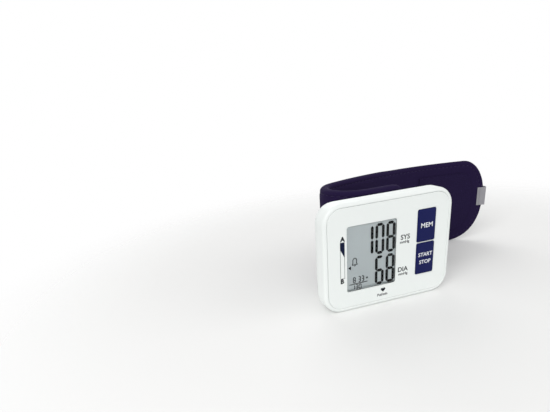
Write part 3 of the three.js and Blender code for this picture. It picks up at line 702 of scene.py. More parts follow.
@dataclass
class Housing:
    """The moulded case: front shell, face plate, rear case and battery cover."""

    shell: Outline = Outline(width=82.0, height=64.0, corner=11.0)
    plate: Outline = Outline(width=76.8, height=58.8, corner=8.2)
    window: Outline = Outline(width=31.4, height=38.9, corner=1.4, x=-11.2, z=-0.75)
    panel_hole: Outline = Outline(width=35.2, height=42.7, corner=0.3, x=-11.2, z=-0.75)
    keys: tuple[Outline, ...] = (
        Outline(width=11.8, height=19.1, corner=0.8, x=23.8, z=11.35),
        Outline(width=11.8, height=19.1, corner=0.8, x=23.8, z=-8.65),
    )
    seat: float = 0.3
    rim_depth: float = 8.5
    rim_round: float = 1.8
    rim_edge: float = 0.2
    land_fall: float = 0.02
    wall_thickness: float = 1.8
    plate_thickness: float = 1.0
    plate_round: float = 0.25
    plate_swell: float = 0.12
    key_gap: float = 0.16
    front_back: float = 3.4
    edge_break: float = 0.25

    def build(self) -> None:
        """Builds the case and puts it on its bodies."""
        for piece in (self.front_shell(), self.face_plate()):
            even_shading(piece)
            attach(piece, Body.MONITOR.value)
        for node, body in (("rear_case", Body.MONITOR), ("battery_cover", Body.BATTERY_COVER)):
            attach(self.moulded_copy(node), body.value)

    def front_shell(self) -> Object:
        """Builds the frame round the face, with its rim, recess, holes and hollow back.

        Returns:
            The piece.
        """
        shape = bmesh.new()
        floor = self.plate_thickness + self.seat
        recess = self.plate.grown(self.seat)
        inset = (self.shell.width - recess.width) / 2
        lip = [(-inset + self.edge_break, self.land_fall), (-inset, self.edge_break), (-inset, floor)]
        hollow = [(-self.wall_thickness, self.front_back), (-self.wall_thickness, self.rim_depth)]
        rim = [(-self.rim_edge, self.rim_depth - self.land_fall), (0.0, self.rim_depth - self.rim_edge)]
        walls = [wall(shape, self.shell, [*hollow, *rim, *rounding(self.rim_round, 0.0), *lip])]
        for hole in (self.panel_hole, *(key.grown(self.seat) for key in self.keys)):
            walls.append(wall(shape, hole, [(0.0, self.front_back), (0.0, floor)]))
        close_ends(shape, *walls)
        return make_piece(shape, "front_shell", [WHITE_ABS], ["front_case"])

    def face_plate(self) -> Object:
        """Builds the inlay of the face, with softened edges round its window and key holes.

        Returns:
            The piece.
        """
        shape = bmesh.new()
        back = (0.0, self.plate_thickness)
        walls = [wall(shape, self.plate.grown(self.plate_swell), [back, *rounding(self.plate_round, 0.0)])]
        for hole in (self.window, *(key.grown(self.key_gap) for key in self.keys)):
            walls.append(wall(shape, hole, [back, *rounding(self.plate_round, 0.0, -1)]))
        close_ends(shape, *walls)
        return make_piece(shape, "face_inlay", [WHITE_ABS], ["face_plate"])

    def moulded_copy(self, node: str) -> Object:
        """Copies a moulded CAD node, with its flats joined and its edges broken.

        Args:
            node: Name of the node.

        Returns:
            The piece.
        """
        shape = bmesh.new()
        shape.from_mesh(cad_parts[node].data)
        bmesh.ops.remove_doubles(shape, verts=shape.verts, dist=NODE_WELD)
        bmesh.ops.dissolve_limit(
            shape, angle_limit=FLAT_WITHIN, verts=shape.verts, edges=shape.edges, delimit=set()
        )
        for face in shape.faces:
            face.material_index = 0
        piece = make_piece(shape, f"{node}_moulding", [WHITE_ABS], [node], Matrix.Identity(4))
        edges = piece.modifiers.new("broken_edges", "BEVEL")
        edges.width = self.edge_break * MM
        edges.segments = 2
        edges.limit_method = "ANGLE"
        edges.angle_limit = SMOOTH_BELOW
        even_shading(piece)
        return piece


@dataclass
class Keys:
    """The two navy keys with their printed words."""

    front: float = -0.5
    back: float = 4.6
    edge: float = 0.45
    crown: float = 0.08
    crown_step: float = 1.3
    ink_sink: float = 0.012
    word_height: float = 2.7
    line_height: float = 2.2
    line_rise: float = 2.3
    weight: float = 0.055

    def build(self, places: Sequence[Outline]) -> None:
        """Builds both keys and puts them on their bodies.

        Args:
            places: Outlines of the upper and the lower key.
        """
        upper = (("MEM", 0.0, self.word_height),)
        lower = (("START", self.line_rise, self.line_height), ("STOP", -self.line_rise, self.line_height))
        bodies = (Body.MEM_KEY, Body.START_STOP_KEY)
        for place, lines, body in zip(places, (upper, lower), bodies):
            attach(self.cap(place, body), body.value)
            for line, rise, height in lines:
                word = Word(line, place.x, place.z + rise, height, self.weight)
                name = f"{line.lower()}_lettering"
                piece = lettering(word, name, PRINT_WHITE, self.front + self.ink_sink)
                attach(piece, body.value)

    def cap(self, place: Outline, body: Body) -> Object:
        """Builds a key with rounded edges and a front that is a hair crowned.

        Args:
            place: Outline of the key.
            body: The key's body, which has its node's name.

        Returns:
            The piece.
        """
        shape = bmesh.new()
        brow = rounding(self.edge, self.front + self.crown)
        crown = [(-self.crown_step, self.front + self.crown / 4), (-2 * self.crown_step, self.front)]
        close_ends(shape, wall(shape, place, [(0.0, self.back), *brow, *crown]))
        piece = make_piece(shape, f"{body.value}_cap", [NAVY_ABS], [body.value])
        even_shading(piece)
        return piece


class Bar(Enum):
    """Bars of a seven-bar digit: place of the middle in half widths and half heights, and if upright."""

    TOP = (0.0, 1.0, False)
    MIDDLE = (0.0, 0.0, False)
    FOOT = (0.0, -1.0, False)
    TOP_LEFT = (-1.0, 0.5, True)
    TOP_RIGHT = (1.0, 0.5, True)
    FOOT_LEFT = (-1.0, -0.5, True)
    FOOT_RIGHT = (1.0, -0.5, True)


BAR_GAP = 0.08  # of a bar's width, from its tip to the corner of the digit
RIGHT = (Bar.TOP_RIGHT, Bar.FOOT_RIGHT)
LEFT = (Bar.TOP_LEFT, Bar.FOOT_LEFT)
ENDS = (Bar.TOP, Bar.FOOT)
DIGITS: dict[str, tuple[Bar, ...]] = {
    "0": (*ENDS, *LEFT, *RIGHT),
    "1": RIGHT,
    "3": (*ENDS, Bar.MIDDLE, *RIGHT),
    "6": (*ENDS, Bar.MIDDLE, *LEFT, Bar.FOOT_RIGHT),
    "8": (*ENDS, Bar.MIDDLE, *LEFT, *RIGHT),
}


@dataclass(frozen=True)
class Readout:
    """A row of digits on the display: its right edge, middle height and the size of a digit."""

    digits: str
    right: float
    z: float
    width: float
    height: float
    pitch: float
    stroke: float

    def draw(self, shape: BMesh, front: float, back: float) -> None:
        """Adds the bars of every digit.

        Args:
            shape: The mesh that takes them.
            front: Depth of their front.
            back: Depth of their back.
        """
        for place, digit in enumerate(reversed(self.digits)):
            x = self.right - self.width / 2 - place * self.pitch
            for bar in DIGITS[digit]:
                self.draw_bar(shape, bar, x, front, back)

    def draw_bar(self, shape: BMesh, bar: Bar, x: float, front: float, back: float) -> None:
        """Adds one bar with pointed ends.

        Args:
            shape: The mesh that takes it.
            bar: Which bar.
            x: Middle of the digit.
            front: Depth of its front.
            back: Depth of its back.
        """
        across, up, upright = bar.value
        half = self.stroke / 2
        middle_x = x + across * (self.width / 2 - half)
        middle_z = self.z + up * (self.height / 2 - half)
        between = (self.height / 2 - half) / 2 if upright else self.width / 2 - half
        run = between - self.stroke * BAR_GAP
        lower = [(-run, 0.0), (-run + half, -half), (run - half, -half)]
        tips = [*lower, *((-u, -v) for u, v in lower)]
        spots = [(middle_x + (v if upright else u), middle_z + (u if upright else v)) for u, v in tips]
        slab(shape, spots, front, back)


@dataclass
class Display:
    """The lens and the liquid crystal panel with its reading."""

    window: Outline
    seat: float = 0.3
    lens_front: float = 0.1
    lens_back: float = 1.0
    lens_edge: float = 0.15
    ink_front: float = 1.2
    ink_back: float = 1.28
    line: float = 0.44
    rows: tuple[Readout, ...] = (
        Readout("108", right=4.1, z=8.3, width=5.75, height=18.2, pitch=6.95, stroke=1.68),
        Readout("68", right=4.1, z=-10.75, width=5.75, height=17.8, pitch=6.95, stroke=1.68),
        Readout("8", right=-21.0, z=-13.7, width=1.8, height=3.7, pitch=2.1, stroke=0.5),
        Readout("33", right=-15.6, z=-13.7, width=1.8, height=3.7, pitch=2.1, stroke=0.5),
        Readout("130", right=-17.3, z=-18.2, width=1.75, height=3.1, pitch=2.15, stroke=0.42),
    )
    arrow: Outline = Outline(width=1.7, height=2.4, corner=0.1, x=-24.85, z=-5.9)
    beat: Outline = Outline(width=1.0, height=1.0, corner=0.1, x=-13.8, z=-13.7)
    bell: Outline = Outline(width=3.4, height=4.6, corner=0.1, x=-21.6, z=-2.6)
    bell_shoulder: float = 0.68  # of half its width
    bell_foot: float = 0.36  # of its height, below its middle
    bell_flare: float = 0.18  # of its height, above its foot
    bell_clapper: float = 1 / 3  # of half its width
    bell_steps: int = 6
    rule: tuple[tuple[float, float], tuple[float, float]] = ((-25.0, -16.2), (-13.4, -16.0))

    def build(self) -> None:
        """Builds the lens and the reading, and dresses the panel."""
        dress("lcd_panel", DISPLAY_GREY)
        for piece in (self.lens(), self.reading()):
            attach(piece, Body.MONITOR.value)

    def lens(self) -> Object:
        """Builds the window pane, a hair below the face.

        Returns:
            The piece.
        """
        shape = bmesh.new()
        front = rounding(self.lens_edge, self.lens_front)
        close_ends(shape, wall(shape, self.window.grown(-self.seat), [(0.0, self.lens_back), *front]))
        piece = make_piece(shape, "display_pane", [LENS_ACRYLIC], ["display_lens"])
        even_shading(piece)
        return piece

    def reading(self) -> Object:
        """Builds the digits and the small signs of the display.

        Returns:
            The piece.
        """
        shape = bmesh.new()
        for row in self.rows:
            row.draw(shape, self.ink_front, self.ink_back)
        self.signs(shape)
        return make_piece(shape, "display_reading", [DISPLAY_INK])

    def signs(self, shape: BMesh) -> None:
        """Adds the arrow, the beat mark, the rule and the bell.

        Args:
            shape: The mesh that takes them.
        """
        tip, back, low, high = self.arrow.sides()
        slab(shape, [(tip, self.arrow.z), (back, low), (back, high)], self.ink_front, self.ink_back)
        left, right, _, _ = self.beat.sides()
        self.stroke(shape, (left, self.beat.z), (right, self.beat.z), self.beat.height)
        self.stroke(shape, *self.rule, self.line)
        self.bell_sign(shape)

    def bell_sign(self, shape: BMesh) -> None:
        """Adds the outline of a bell with its clapper.

        Args:
            shape: The mesh that takes it.
        """
        middle = Vector((self.bell.x, self.bell.z))
        skirt = self.bell.width / 2
        shoulder = skirt * self.bell_shoulder
        crown = self.bell.height / 2 - shoulder
        foot = -self.bell.height * self.bell_foot
        turns = [math.pi * k / self.bell_steps for k in range(self.bell_steps + 1)]
        arch = [Vector((shoulder * math.cos(a), crown + shoulder * math.sin(a))) for a in turns]
        waist = foot + self.bell.height * self.bell_flare
        right = [Vector((skirt, foot)), Vector((shoulder, waist))]
        left = [Vector((-shoulder, waist)), Vector((-skirt, foot))]
        outline = [middle + spot for spot in (*right, *arch, *left)]
        for one, other in zip(outline, [*outline[1:], outline[0]]):
            self.stroke(shape, one, other, self.line)
        clapper = Vector((skirt * self.bell_clapper, -self.bell.height / 2))
        self.stroke(shape, middle + clapper, middle + clapper * Vector((-1, 1)), self.line)

    def stroke(self, shape: BMesh, one: Sequence[float], other: Sequence[float], width: float) -> None:
        """Adds a straight stroke between two places.

        Args:
            shape: The mesh that takes it.
            one: X and Z of its start.
            other: X and Z of its end.
            width: Its width.
        """
        start, end = Vector(one[:2]), Vector(other[:2])
        along = (end - start).normalized()
        aside = Vector((-along.y, along.x)) * width / 2
        slab(shape, [start + aside, start - aside, end - aside, end + aside], self.ink_front, self.ink_back)


HEART_HALF = 16  # half the width of the heart curve, in its own unit
HEART_TERMS = (13, -5, -2, -1)  # what each cosine adds to the curve's height


@dataclass
class FacePrint:
    """What is printed on the face: function words, the heart and the scale beside the display."""

    sink: float = 0.012
    words: tuple[Word, ...] = (
        Word("SYS", x=10.1, z=6.6, height=2.75, weight=0.08),
        Word("DIA", x=9.1, z=-13.0, height=2.75, weight=0.08),
        Word("mmHg", x=9.7, z=3.8, height=1.55, weight=0.055),
        Word("mmHg", x=9.4, z=-15.8, height=1.55, weight=0.055),
        Word("Pul/min", x=-4.1, z=-26.2, height=1.55, weight=0.055),
        Word("A", x=-29.6, z=12.3, height=2.55, weight=0.19),
        Word("B", x=-30.1, z=-12.55, height=2.55, weight=0.19),
    )
    heart: tuple[float, float] = (-3.7, -23.1)
    heart_size: float = 3.0
    heart_steps: int = 40
    scale: Outline = Outline(width=2.8, height=21.5, corner=0.3, x=-29.75, z=-0.1)
    scale_line: float = 0.22
    wedge_drop: float = 8.7
    wedge_shoulder: float = 0.45  # of its drop
    wedge_tip: float = 0.3

    def build(self) -> None:
        """Prints the face."""
        for number, word in enumerate(self.words):
            depth = self.sink - PRINT_THICKNESS / 2
            piece = lettering(word, f"face_word_{number}", PRINT_GREY, depth)
            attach(piece, Body.MONITOR.value)
        for piece in (self.heart_mark(), self.scale_frame(), self.scale_wedge()):
            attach(piece, Body.MONITOR.value)

    def depths(self) -> tuple[float, float]:
        """Front and back of the ink."""
        return self.sink - PRINT_THICKNESS, self.sink

    def heart_mark(self) -> Object:
        """Builds the heart under the display.

        Returns:
            The piece.
        """
        shape = bmesh.new()
        spread = self.heart_size / (2 * HEART_HALF)
        corners = []
        for step in range(self.heart_steps):
            turn = math.tau * step / self.heart_steps
            across = HEART_HALF * math.sin(turn) ** 3
            up = sum(term * math.cos(n * turn) for n, term in enumerate(HEART_TERMS, start=1))
            corners.append((self.heart[0] + spread * across, self.heart[1] + spread * up))
        slab(shape, corners, *self.depths())
        return make_piece(shape, "heart_mark", [PRINT_GREY])

    def scale_frame(self) -> Object:
        """Builds the thin frame of the scale.

        Returns:
            The piece.
        """
        shape = bmesh.new()
        front, back = self.depths()
        lines = (self.scale, self.scale.grown(-self.scale_line))
        close_ends(shape, *(wall(shape, line, [(0.0, back), (0.0, front)]) for line in lines))
        return make_piece(shape, "scale_frame", [PRINT_GREY])

    def scale_wedge(self) -> Object:
        """Builds the wedge that narrows down the scale.

        Returns:
            The piece.
        """
        shape = bmesh.new()
        left, right, _, top = self.scale.sides()
        shoulder = top - self.wedge_drop * self.wedge_shoulder
        foot = top - self.wedge_drop
        tip = right - self.wedge_tip
        corners = [(left, top), (left, shoulder), (tip, foot), (right, foot), (right, top)]
        front, back = self.depths()
        slab(shape, corners, front - self.sink / 2, back)
        return make_piece(shape, "scale_wedge", [PRINT_NAVY])


@dataclass(frozen=True)
class StrapPath:
    """Way of the strap seen from above: along the back of the case, round the curl, and away to the tip."""

    near_end: float = 30.01
    wrist_face: float = 35.3
    curl_x: float = 4.254
    curl_radius: float = 14.0
    far_radius: float = 170.0
    far_start: float = math.radians(111)
    stiff_length: float = 50.0
    far_length: float = 127.4
    probe: float = 0.1
    first_cut: float = 1.0
    cut_step: float = 2.4
    curl_step: float = 1.3
    curl_margin: float = 2.0

    @property
    def near_length(self) -> float:
        """Length of the straight on the back of the case."""
        return self.near_end - self.curl_x

    @property
    def curl_end(self) -> float:
        """Length up to the end of the curl."""
        return self.near_length + self.curl_radius * (math.pi * 1.5 - self.far_start)

    @property
    def stiff_end(self) -> float:
        """Length up to the end of the stiffened part."""
        return self.curl_end + self.stiff_length

    @property
    def length(self) -> float:
        """Length up to the tip."""
        return self.curl_end + self.far_length

    def bend(self, flat: Vector) -> Vector:
        """Takes a point of the flat strap to its place on the path.

        Args:
            flat: Length along the strap, height above its wrist face, and Z.

        Returns:
            The place about the middle of the face.
        """
        along, out, z = flat
        if along < self.near_length:
            return Vector((self.near_end - along, self.wrist_face - out, z))
        curl = Vector((self.curl_x, self.wrist_face + self.curl_radius))
        if along < self.curl_end:
            turn = math.pi * 1.5 - (along - self.near_length) / self.curl_radius
            return self.polar(curl, self.curl_radius + out, turn, z)
        far = self.polar(curl, self.curl_radius - self.far_radius, self.far_start, 0.0).xy
        turn = self.far_start - (along - self.curl_end) / self.far_radius
        return self.polar(far, self.far_radius + out, turn, z)

    @staticmethod
    def polar(middle: Vector, radius: float, turn: float, z: float) -> Vector:
        """A point at a radius and angle about a middle."""
        return Vector((middle.x + radius * math.cos(turn), middle.y + radius * math.sin(turn), z))

    def heading(self, along: float, out: float) -> Vector:
        """Direction of the strap at a length along it and a height above its wrist face."""
        ahead = self.bend(Vector((along + self.probe, out, 0)))
        return (ahead - self.bend(Vector((along, out, 0)))).normalized()

    def stations(self, start: float, end: float) -> list[float]:
        """Places where the flat strap is cut across, close together in the curl.

        Args:
            start: Length after which they are wanted.
            end: Length before which they are wanted.

        Returns:
            Lengths along the strap.
        """
        places = []
        at = self.first_cut
        while at < self.length:
            places.append(at)
            curled = self.near_length - self.curl_margin < at < self.curl_end + self.curl_margin
            at += self.curl_step if curled else self.cut_step
        return [place for place in places if start < place < end]


@dataclass(frozen=True)
class Ripple:
    """A wave over the flat strap: millimetres to a radian along it and up it."""

    along: float
    up: float

    def height(self, along: float, z: float) -> float:
        """Height of the wave at a place, from -1 to 1."""
        return math.sin(along / self.along + z / self.up)


def ease(value: float) -> float:
    """A soft step from 0 to 1 as the value goes from 0 to 1."""
    t = min(max(value, 0.0), 1.0)
    return t * t * (3 - 2 * t)


def cut_across(shape: BMesh, stations: Iterable[float], axis: int, drop: bool = False) -> None:
    """Cuts a flat shape across at every station.

    Args:
        shape: The mesh that is cut.
        stations: Where the cuts lie on the axis.
        axis: 0 for stations along the strap, 2 for stations up it.
        drop: If what lies before a cut is dropped.
    """
    normal = Vector((0, 0, 0))
    normal[axis] = 1
    for station in stations:
        bmesh.ops.bisect_plane(
            shape,
            geom=[*shape.verts, *shape.edges, *shape.faces],
            dist=CUT_WELD,
            plane_co=normal * station,
            plane_no=normal,
            clear_inner=drop,
        )


def inset(shape: BMesh, faces: list[BMFace], by: float) -> list[BMFace]:
    """Insets flat faces by so much, and gives the faces that this adds round them."""
    done = bmesh.ops.inset_region(shape, faces=faces, thickness=by, use_even_offset=True, use_boundary=True)
    return done["faces"]


def inset_hem(shape: BMesh, face: BMFace, steps: Iterable[float]) -> dict[float, list[Vector]]:
    """Insets a flat face ring by ring, and notes how far from the edge each ring's points lie.

    Args:
        shape: The mesh, which has a layer for the hem.
        face: The face.
        steps: How far each ring lies from the ring before.

    Returns:
        Each ring's flat line, under its distance from the edge.
    """
    hem = shape.verts.layers.float["hem"]
    lines = {}
    depth = 0.0
    for step in steps:
        inset(shape, [face], step)
        depth += step
        for vert in face.verts:
            vert[hem] = depth
        lines[depth] = [loop.vert.co.xz for loop in face.loops]
    return lines


def doubled(shape: BMesh) -> tuple[set[BMVert], list[BMFace]]:
    """Copies a flat shape onto itself, so that it has two sides.

    Args:
        shape: The mesh.

    Returns:
        The points and the faces of the copy.
    """
    copied = bmesh.ops.duplicate(shape, geom=[*shape.verts, *shape.edges, *shape.faces])["geom"]
    points = {part for part in copied if isinstance(part, BMVert)}
    return points, [part for part in copied if isinstance(part, BMFace)]


def map_cloth(shape: BMesh, size: tuple[float, float, float] = (1.0, 1.0, 1.0)) -> None:
    """Maps a flat cloth by its length and height.

    Args:
        shape: The mesh, which has a map for the cloth.
        size: What a unit of the shape stands for on each axis, in millimetres.
    """
    cloth_map = shape.loops.layers.uv["cloth"]
    for face in shape.faces:
        for loop in face.loops:
            spot = loop.vert.co * Vector(size)
            loop[cloth_map].uv = (spot.x / UV_SPAN, (spot.y + spot.z) / UV_SPAN)


def add_stitch(shape: BMesh, place: Matrix) -> None:
    """Adds a stitch: a ball of radius 1 that its place stretches, turns and moves."""
    bmesh.ops.create_uvsphere(shape, u_segments=6, v_segments=4, radius=1.0, matrix=place)


@dataclass
class AirBladder:
    """The flat air bladder that lies inside the strap."""

    path: StrapPath
    start: float = 8.6
    end_gap: float = 6.0
    bottom: float = -27.0
    top: float = 25.0
    middle_out: float = 2.5
    hem_steps: tuple[float, ...] = (1.6, 0.5, 0.6, 0.9)
    weld: float = 1.6
    weld_rise: float = 0.25
    swell: float = 0.9
    swell_run: float = 2.0

    def build(self) -> Object:
        """Builds the bladder with the flat weld round it.

        Returns:
            The piece, which rides on nothing yet.
        """
        shape = bmesh.new()
        hem = shape.verts.layers.float.new("hem")
        end = self.path.stiff_end - self.end_gap
        corners = ((self.start, self.bottom), (end, self.bottom), (end, self.top), (self.start, self.top))
        face = shape.faces.new([shape.verts.new((x, 0, z)) for x, z in corners])
        inset_hem(shape, face, self.hem_steps)
        cut_across(shape, self.path.stations(self.start, end), 0)
        lower, _ = doubled(shape)
        for vert in shape.verts:
            rise = self.weld_rise + self.swell * ease((vert[hem] - self.weld) / self.swell_run)
            side = Side.WRIST if vert in lower else Side.OUTER
            out = self.middle_out + (side.value * rise if vert[hem] > 0 else 0.0)
            vert.co = self.path.bend(Vector((vert.co.x, out, vert.co.z)))
        return make_piece(shape, "air_bladder", [AIR_FILM], ["cuff_bladder"])


@dataclass
class Cuff:
    """The sewn strap: its cloth, lining, stitching, bladder, hook tape and pull tab."""

    path: StrapPath = StrapPath()
    top: float = 30.0
    bottom: float = -32.0
    tip_z: float = 4.0
    tip_top_run: float = 16.4
    tip_low_run: float = 28.4
    tip_low_fullness: float = 2.4
    tip_steps: int = 96  # of a whole turn
    near_corner: float = 6.5
    near_steps: int = 5
    first_row: float = 8.0
    row_step: float = 4.2
    row_count: int = 12
    thickness: float = 6.5
    tail_thickness: float = 4.5
    thin_lead: float = 5.0
    thin_run: float = 8.0
    edge_run: float = 2.6
    seam: float = 3.3
    seam_depth: float = 0.35
    seam_width: float = 0.4
    lining_lap: float = 0.1
    pad_rise: float = 0.35
    pad_run: float = 2.2
    pad_fall: float = 0.2
    pad_fall_lead: float = 4.0
    pad_fall_run: float = 10.0
    case_margin: float = 3.0
    case_run: float = 8.0
    fold_depth: float = 0.3
    fold_width: float = 0.8
    crease_depth: float = 0.28
    crease_pitch: float = 4.4
    crease_waver: float = 0.8
    crease_waver_run: float = 5.5
    crease_fade: float = 0.4
    crease_fade_run: float = 8.3
    crease_lead: float = 6.0
    slack_depth: float = 0.12
    slack: tuple[Ripple, Ripple] = (Ripple(along=9.1, up=13.0), Ripple(along=-17.0, up=7.3))
    hem_steps: tuple[float, ...] = (0.3, 0.5, 0.8, 1.0, 0.35, 0.35, 0.35, 0.5, 1.2)
    stitch_length: float = 2.2
    stitch_pitch: float = 3.1
    stitch_radius: float = 0.28
    stitch_proud: float = 0.3  # of its radius
    hinge_past: float = 2.7
    blend_run: float = 9.0
    hook_inset: float = 9.0
    hook_length: float = 42.0
    hook_border: float = 1.2
    hook_front: float = -0.7
    hook_back: float = 0.05

    def build(self) -> None:
        """Builds the strap and everything sewn to it."""
        hinge = self.path.stiff_end + self.hinge_past
        pivot = self.path.bend(Vector((hinge, self.tail_thickness / 2, 0)))
        reach = self.path.heading(hinge, self.tail_thickness / 2) * self.blend_run
        start, end = FACE_TO_FRAME @ (pivot - reach), FACE_TO_FRAME @ (pivot + reach)
        skin, seam_line = self.skin()
        stitches = self.stitching(seam_line)
        for piece in (skin, stitches):
            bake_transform(piece, Body.MONITOR.value, Body.TAIL.value, start, end)
        bladder = AirBladder(self.path).build()
        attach(bladder, Body.MONITOR.value)
        for piece in (self.hook_tape(), *PullTab(self.path).build()):
            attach(piece, Body.TAIL.value)

    def outline(self, shape: BMesh) -> BMFace:
        """Lays out the flat strap with its D-shaped end.

        Args:
            shape: The mesh that takes it.

        Returns:
            The face of the flat strap.
        """
        disc = bmesh.ops.create_circle(shape, cap_ends=False, segments=self.tip_steps, radius=1.0)["verts"]
        bmesh.ops.delete(shape, geom=[v for v in disc if v.co.x < -WELD], context="VERTS")
        arc = sorted(shape.verts, key=lambda v: v.co.y)
        bmesh.ops.delete(shape, geom=list(shape.edges), context="EDGES_FACES")
        for vert in arc:
            across, up, _ = vert.co
            if up < 0:
                across = max(across, 0.0) ** (2 / self.tip_low_fullness)
                up = -(-up) ** (2 / self.tip_low_fullness)
            run = self.tip_top_run if up > 0 else self.tip_low_run
            height = self.top - self.tip_z if up > 0 else self.tip_z - self.bottom
            vert.co = (self.path.length - run * (1 - across), 0.0, self.tip_z + height * up)
        near = [shape.verts.new((0.0, 0.0, z)) for z in (self.bottom, self.top)]
        shape.faces.new([near[0], *arc, near[1]])
        return round_corners(shape, near, self.near_corner, self.near_steps)

    def body_thickness(self, along: float) -> float:
        """Thickness of the strap, which thins where the stiff part ends."""
        thinned = ease((along - self.path.stiff_end + self.thin_lead) / self.thin_run)
        return self.thickness + (self.tail_thickness - self.thickness) * thinned

    def surface(self, along: float, z: float, hem: float, side: Side) -> float:
        """Height of the cloth above the strap's wrist face.

        Args:
            along: Length along the strap.
            z: Height on the strap.
            hem: Distance from its edge.
            side: Which side of the strap.

        Returns:
            The height.
        """
        thick = self.body_thickness(along)
        rise = thick / 2 * math.sqrt(1 - (1 - min(hem / self.edge_run, 1.0)) ** 2)
        rise -= self.seam_depth * math.exp(-(((hem - self.seam) / self.seam_width) ** 2))
        rise += ease((hem - self.seam) / self.pad_run) * self.padding(along, z, side)
        return thick / 2 + side.value * rise

    def padding(self, along: float, z: float, side: Side) -> float:
        """How far padding, slack and creases lift the cloth inside its seam.

        Args:
            along: Length along the strap.
            z: Height on the strap.
            side: Which side of the strap.

        Returns:
            The lift.
        """
        off_case = ease((along - self.path.near_length - self.case_margin) / self.case_run)
        tail = ease((along - self.path.stiff_end - self.pad_fall_lead) / self.pad_fall_run)
        lift = -self.fold_depth * math.exp(-(((along - self.path.stiff_end) / self.fold_width) ** 2))
        lift += off_case * self.slack_depth * math.prod(wave.height(along, z) for wave in self.slack)
        if side is Side.OUTER:
            return lift + off_case * (self.pad_rise - self.pad_fall * tail)
        return lift + self.pad_rise * (1 - tail) + self.creases(along, z)

    def creases(self, along: float, z: float) -> float:
        """How far the creases in the curl lift the lining.

        Args:
            along: Length along the strap.
            z: Height on the strap.

        Returns:
            The lift.
        """
        before = ease((along - self.path.near_length) / self.crease_lead)
        after = ease((self.path.curl_end + self.crease_lead - along) / self.crease_lead)
        waver = self.crease_waver * math.sin(z / self.crease_waver_run)
        crease = math.sin(along * math.tau / self.crease_pitch + waver)
        fade = 1 - self.crease_fade + self.crease_fade * math.cos(z / self.crease_fade_run)
        return self.crease_depth * before * after * crease * fade

    def skin(self) -> tuple[Object, list[Vector]]:
        """Builds the closed cloth of the strap.

        Returns:
            The piece, and the flat line that its seam follows.
        """
        shape = bmesh.new()
        hem = shape.verts.layers.float.new("hem")
        shape.loops.layers.uv.new("cloth")
        lines = inset_hem(shape, self.outline(shape), self.hem_steps)
        seam_line = next(line for depth, line in lines.items() if depth >= self.seam - WELD)
        cut_across(shape, self.path.stations(0.0, self.path.length), 0)
        rows = [self.bottom + self.first_row + self.row_step * k for k in range(self.row_count)]
        cut_across(shape, rows, 2)
        map_cloth(shape)
        wrist_side, lining = doubled(shape)
        for flat in lining:
            if min(vert[hem] for vert in flat.verts) > self.seam - self.lining_lap:
                flat.material_index = 1
        for vert in shape.verts:
            side = Side.WRIST if vert in wrist_side else Side.OUTER
            lifted = self.surface(vert.co.x, vert.co.z, vert[hem], side)
            vert.co = self.path.bend(Vector((vert.co.x, lifted, vert.co.z)))
        nodes = ["cuff_cover", "cuff_lining", "cuff_tail"]
        piece = make_piece(shape, "cuff_cloth", [CUFF_CLOTH, LINING], nodes)
        soft = piece.modifiers.new("soft_cloth", "SUBSURF")
        soft.levels = 1
        soft.render_levels = 1
        return piece, seam_line

    def stitching(self, line: Sequence[Vector]) -> Object:
        """Sews a row of stitches along the seam on both sides.

        Args:
            line: The flat line that the seam follows.

        Returns:
            The piece.
        """
        shape = bmesh.new()
        walked = 0.0
        closed = [*line, line[0]]
        for one, other in zip(closed, closed[1:]):
            run = (other - one).length
            while walked < run:
                for side in Side:
                    self.stitch(shape, one.lerp(other, walked / run), other - one, side)
                walked += self.stitch_pitch
            walked -= run
        for vert in shape.verts:
            vert.co = self.path.bend(vert.co)
        return make_piece(shape, "cuff_stitching", [THREAD])

    def stitch(self, shape: BMesh, spot: Vector, way: Vector, side: Side) -> None:
        """Adds one stitch to the flat strap.

        Args:
            shape: The mesh that takes it.
            spot: Its middle, along the strap and in height.
            way: The direction that it runs in.
            side: Which side of the strap.
        """
        height = self.surface(spot.x, spot.y, self.seam, side)
        height += side.value * self.stitch_radius * self.stitch_proud
        turned = Matrix.Rotation(-math.atan2(way.y, way.x), 4, "Y")
        size = Matrix.Diagonal((self.stitch_length / 2, self.stitch_radius, self.stitch_radius, 1))
        add_stitch(shape, Matrix.Translation((spot.x, height, spot.y)) @ turned @ size)

    def hook_tape(self) -> Object:
        """Builds the hook tape on the wrist side of the tail.

        Returns:
            The piece.
        """
        shape = bmesh.new()
        shape.loops.layers.uv.new("cloth")
        edge = inset(shape, [self.outline(shape)], self.hook_inset)
        bmesh.ops.delete(shape, geom=edge, context="FACES")
        start = self.path.length - self.hook_inset - self.hook_length
        cut_across(shape, [start], 0, drop=True)
        inset(shape, list(shape.faces), self.hook_border)
        cut_across(shape, self.path.stations(start, self.path.length), 0)
        map_cloth(shape)
        pushed = bmesh.ops.extrude_face_region(shape, geom=list(shape.faces), use_keep_orig=True)["geom"]
        front = {part for part in pushed if isinstance(part, BMVert)}
        for vert in shape.verts:
            out = self.hook_front if vert in front else self.hook_back
            vert.co = self.path.bend(Vector((vert.co.x, out, vert.co.z)))
        return make_piece(shape, "hook_tape", [HOOK_TAPE], ["hook_patch"])


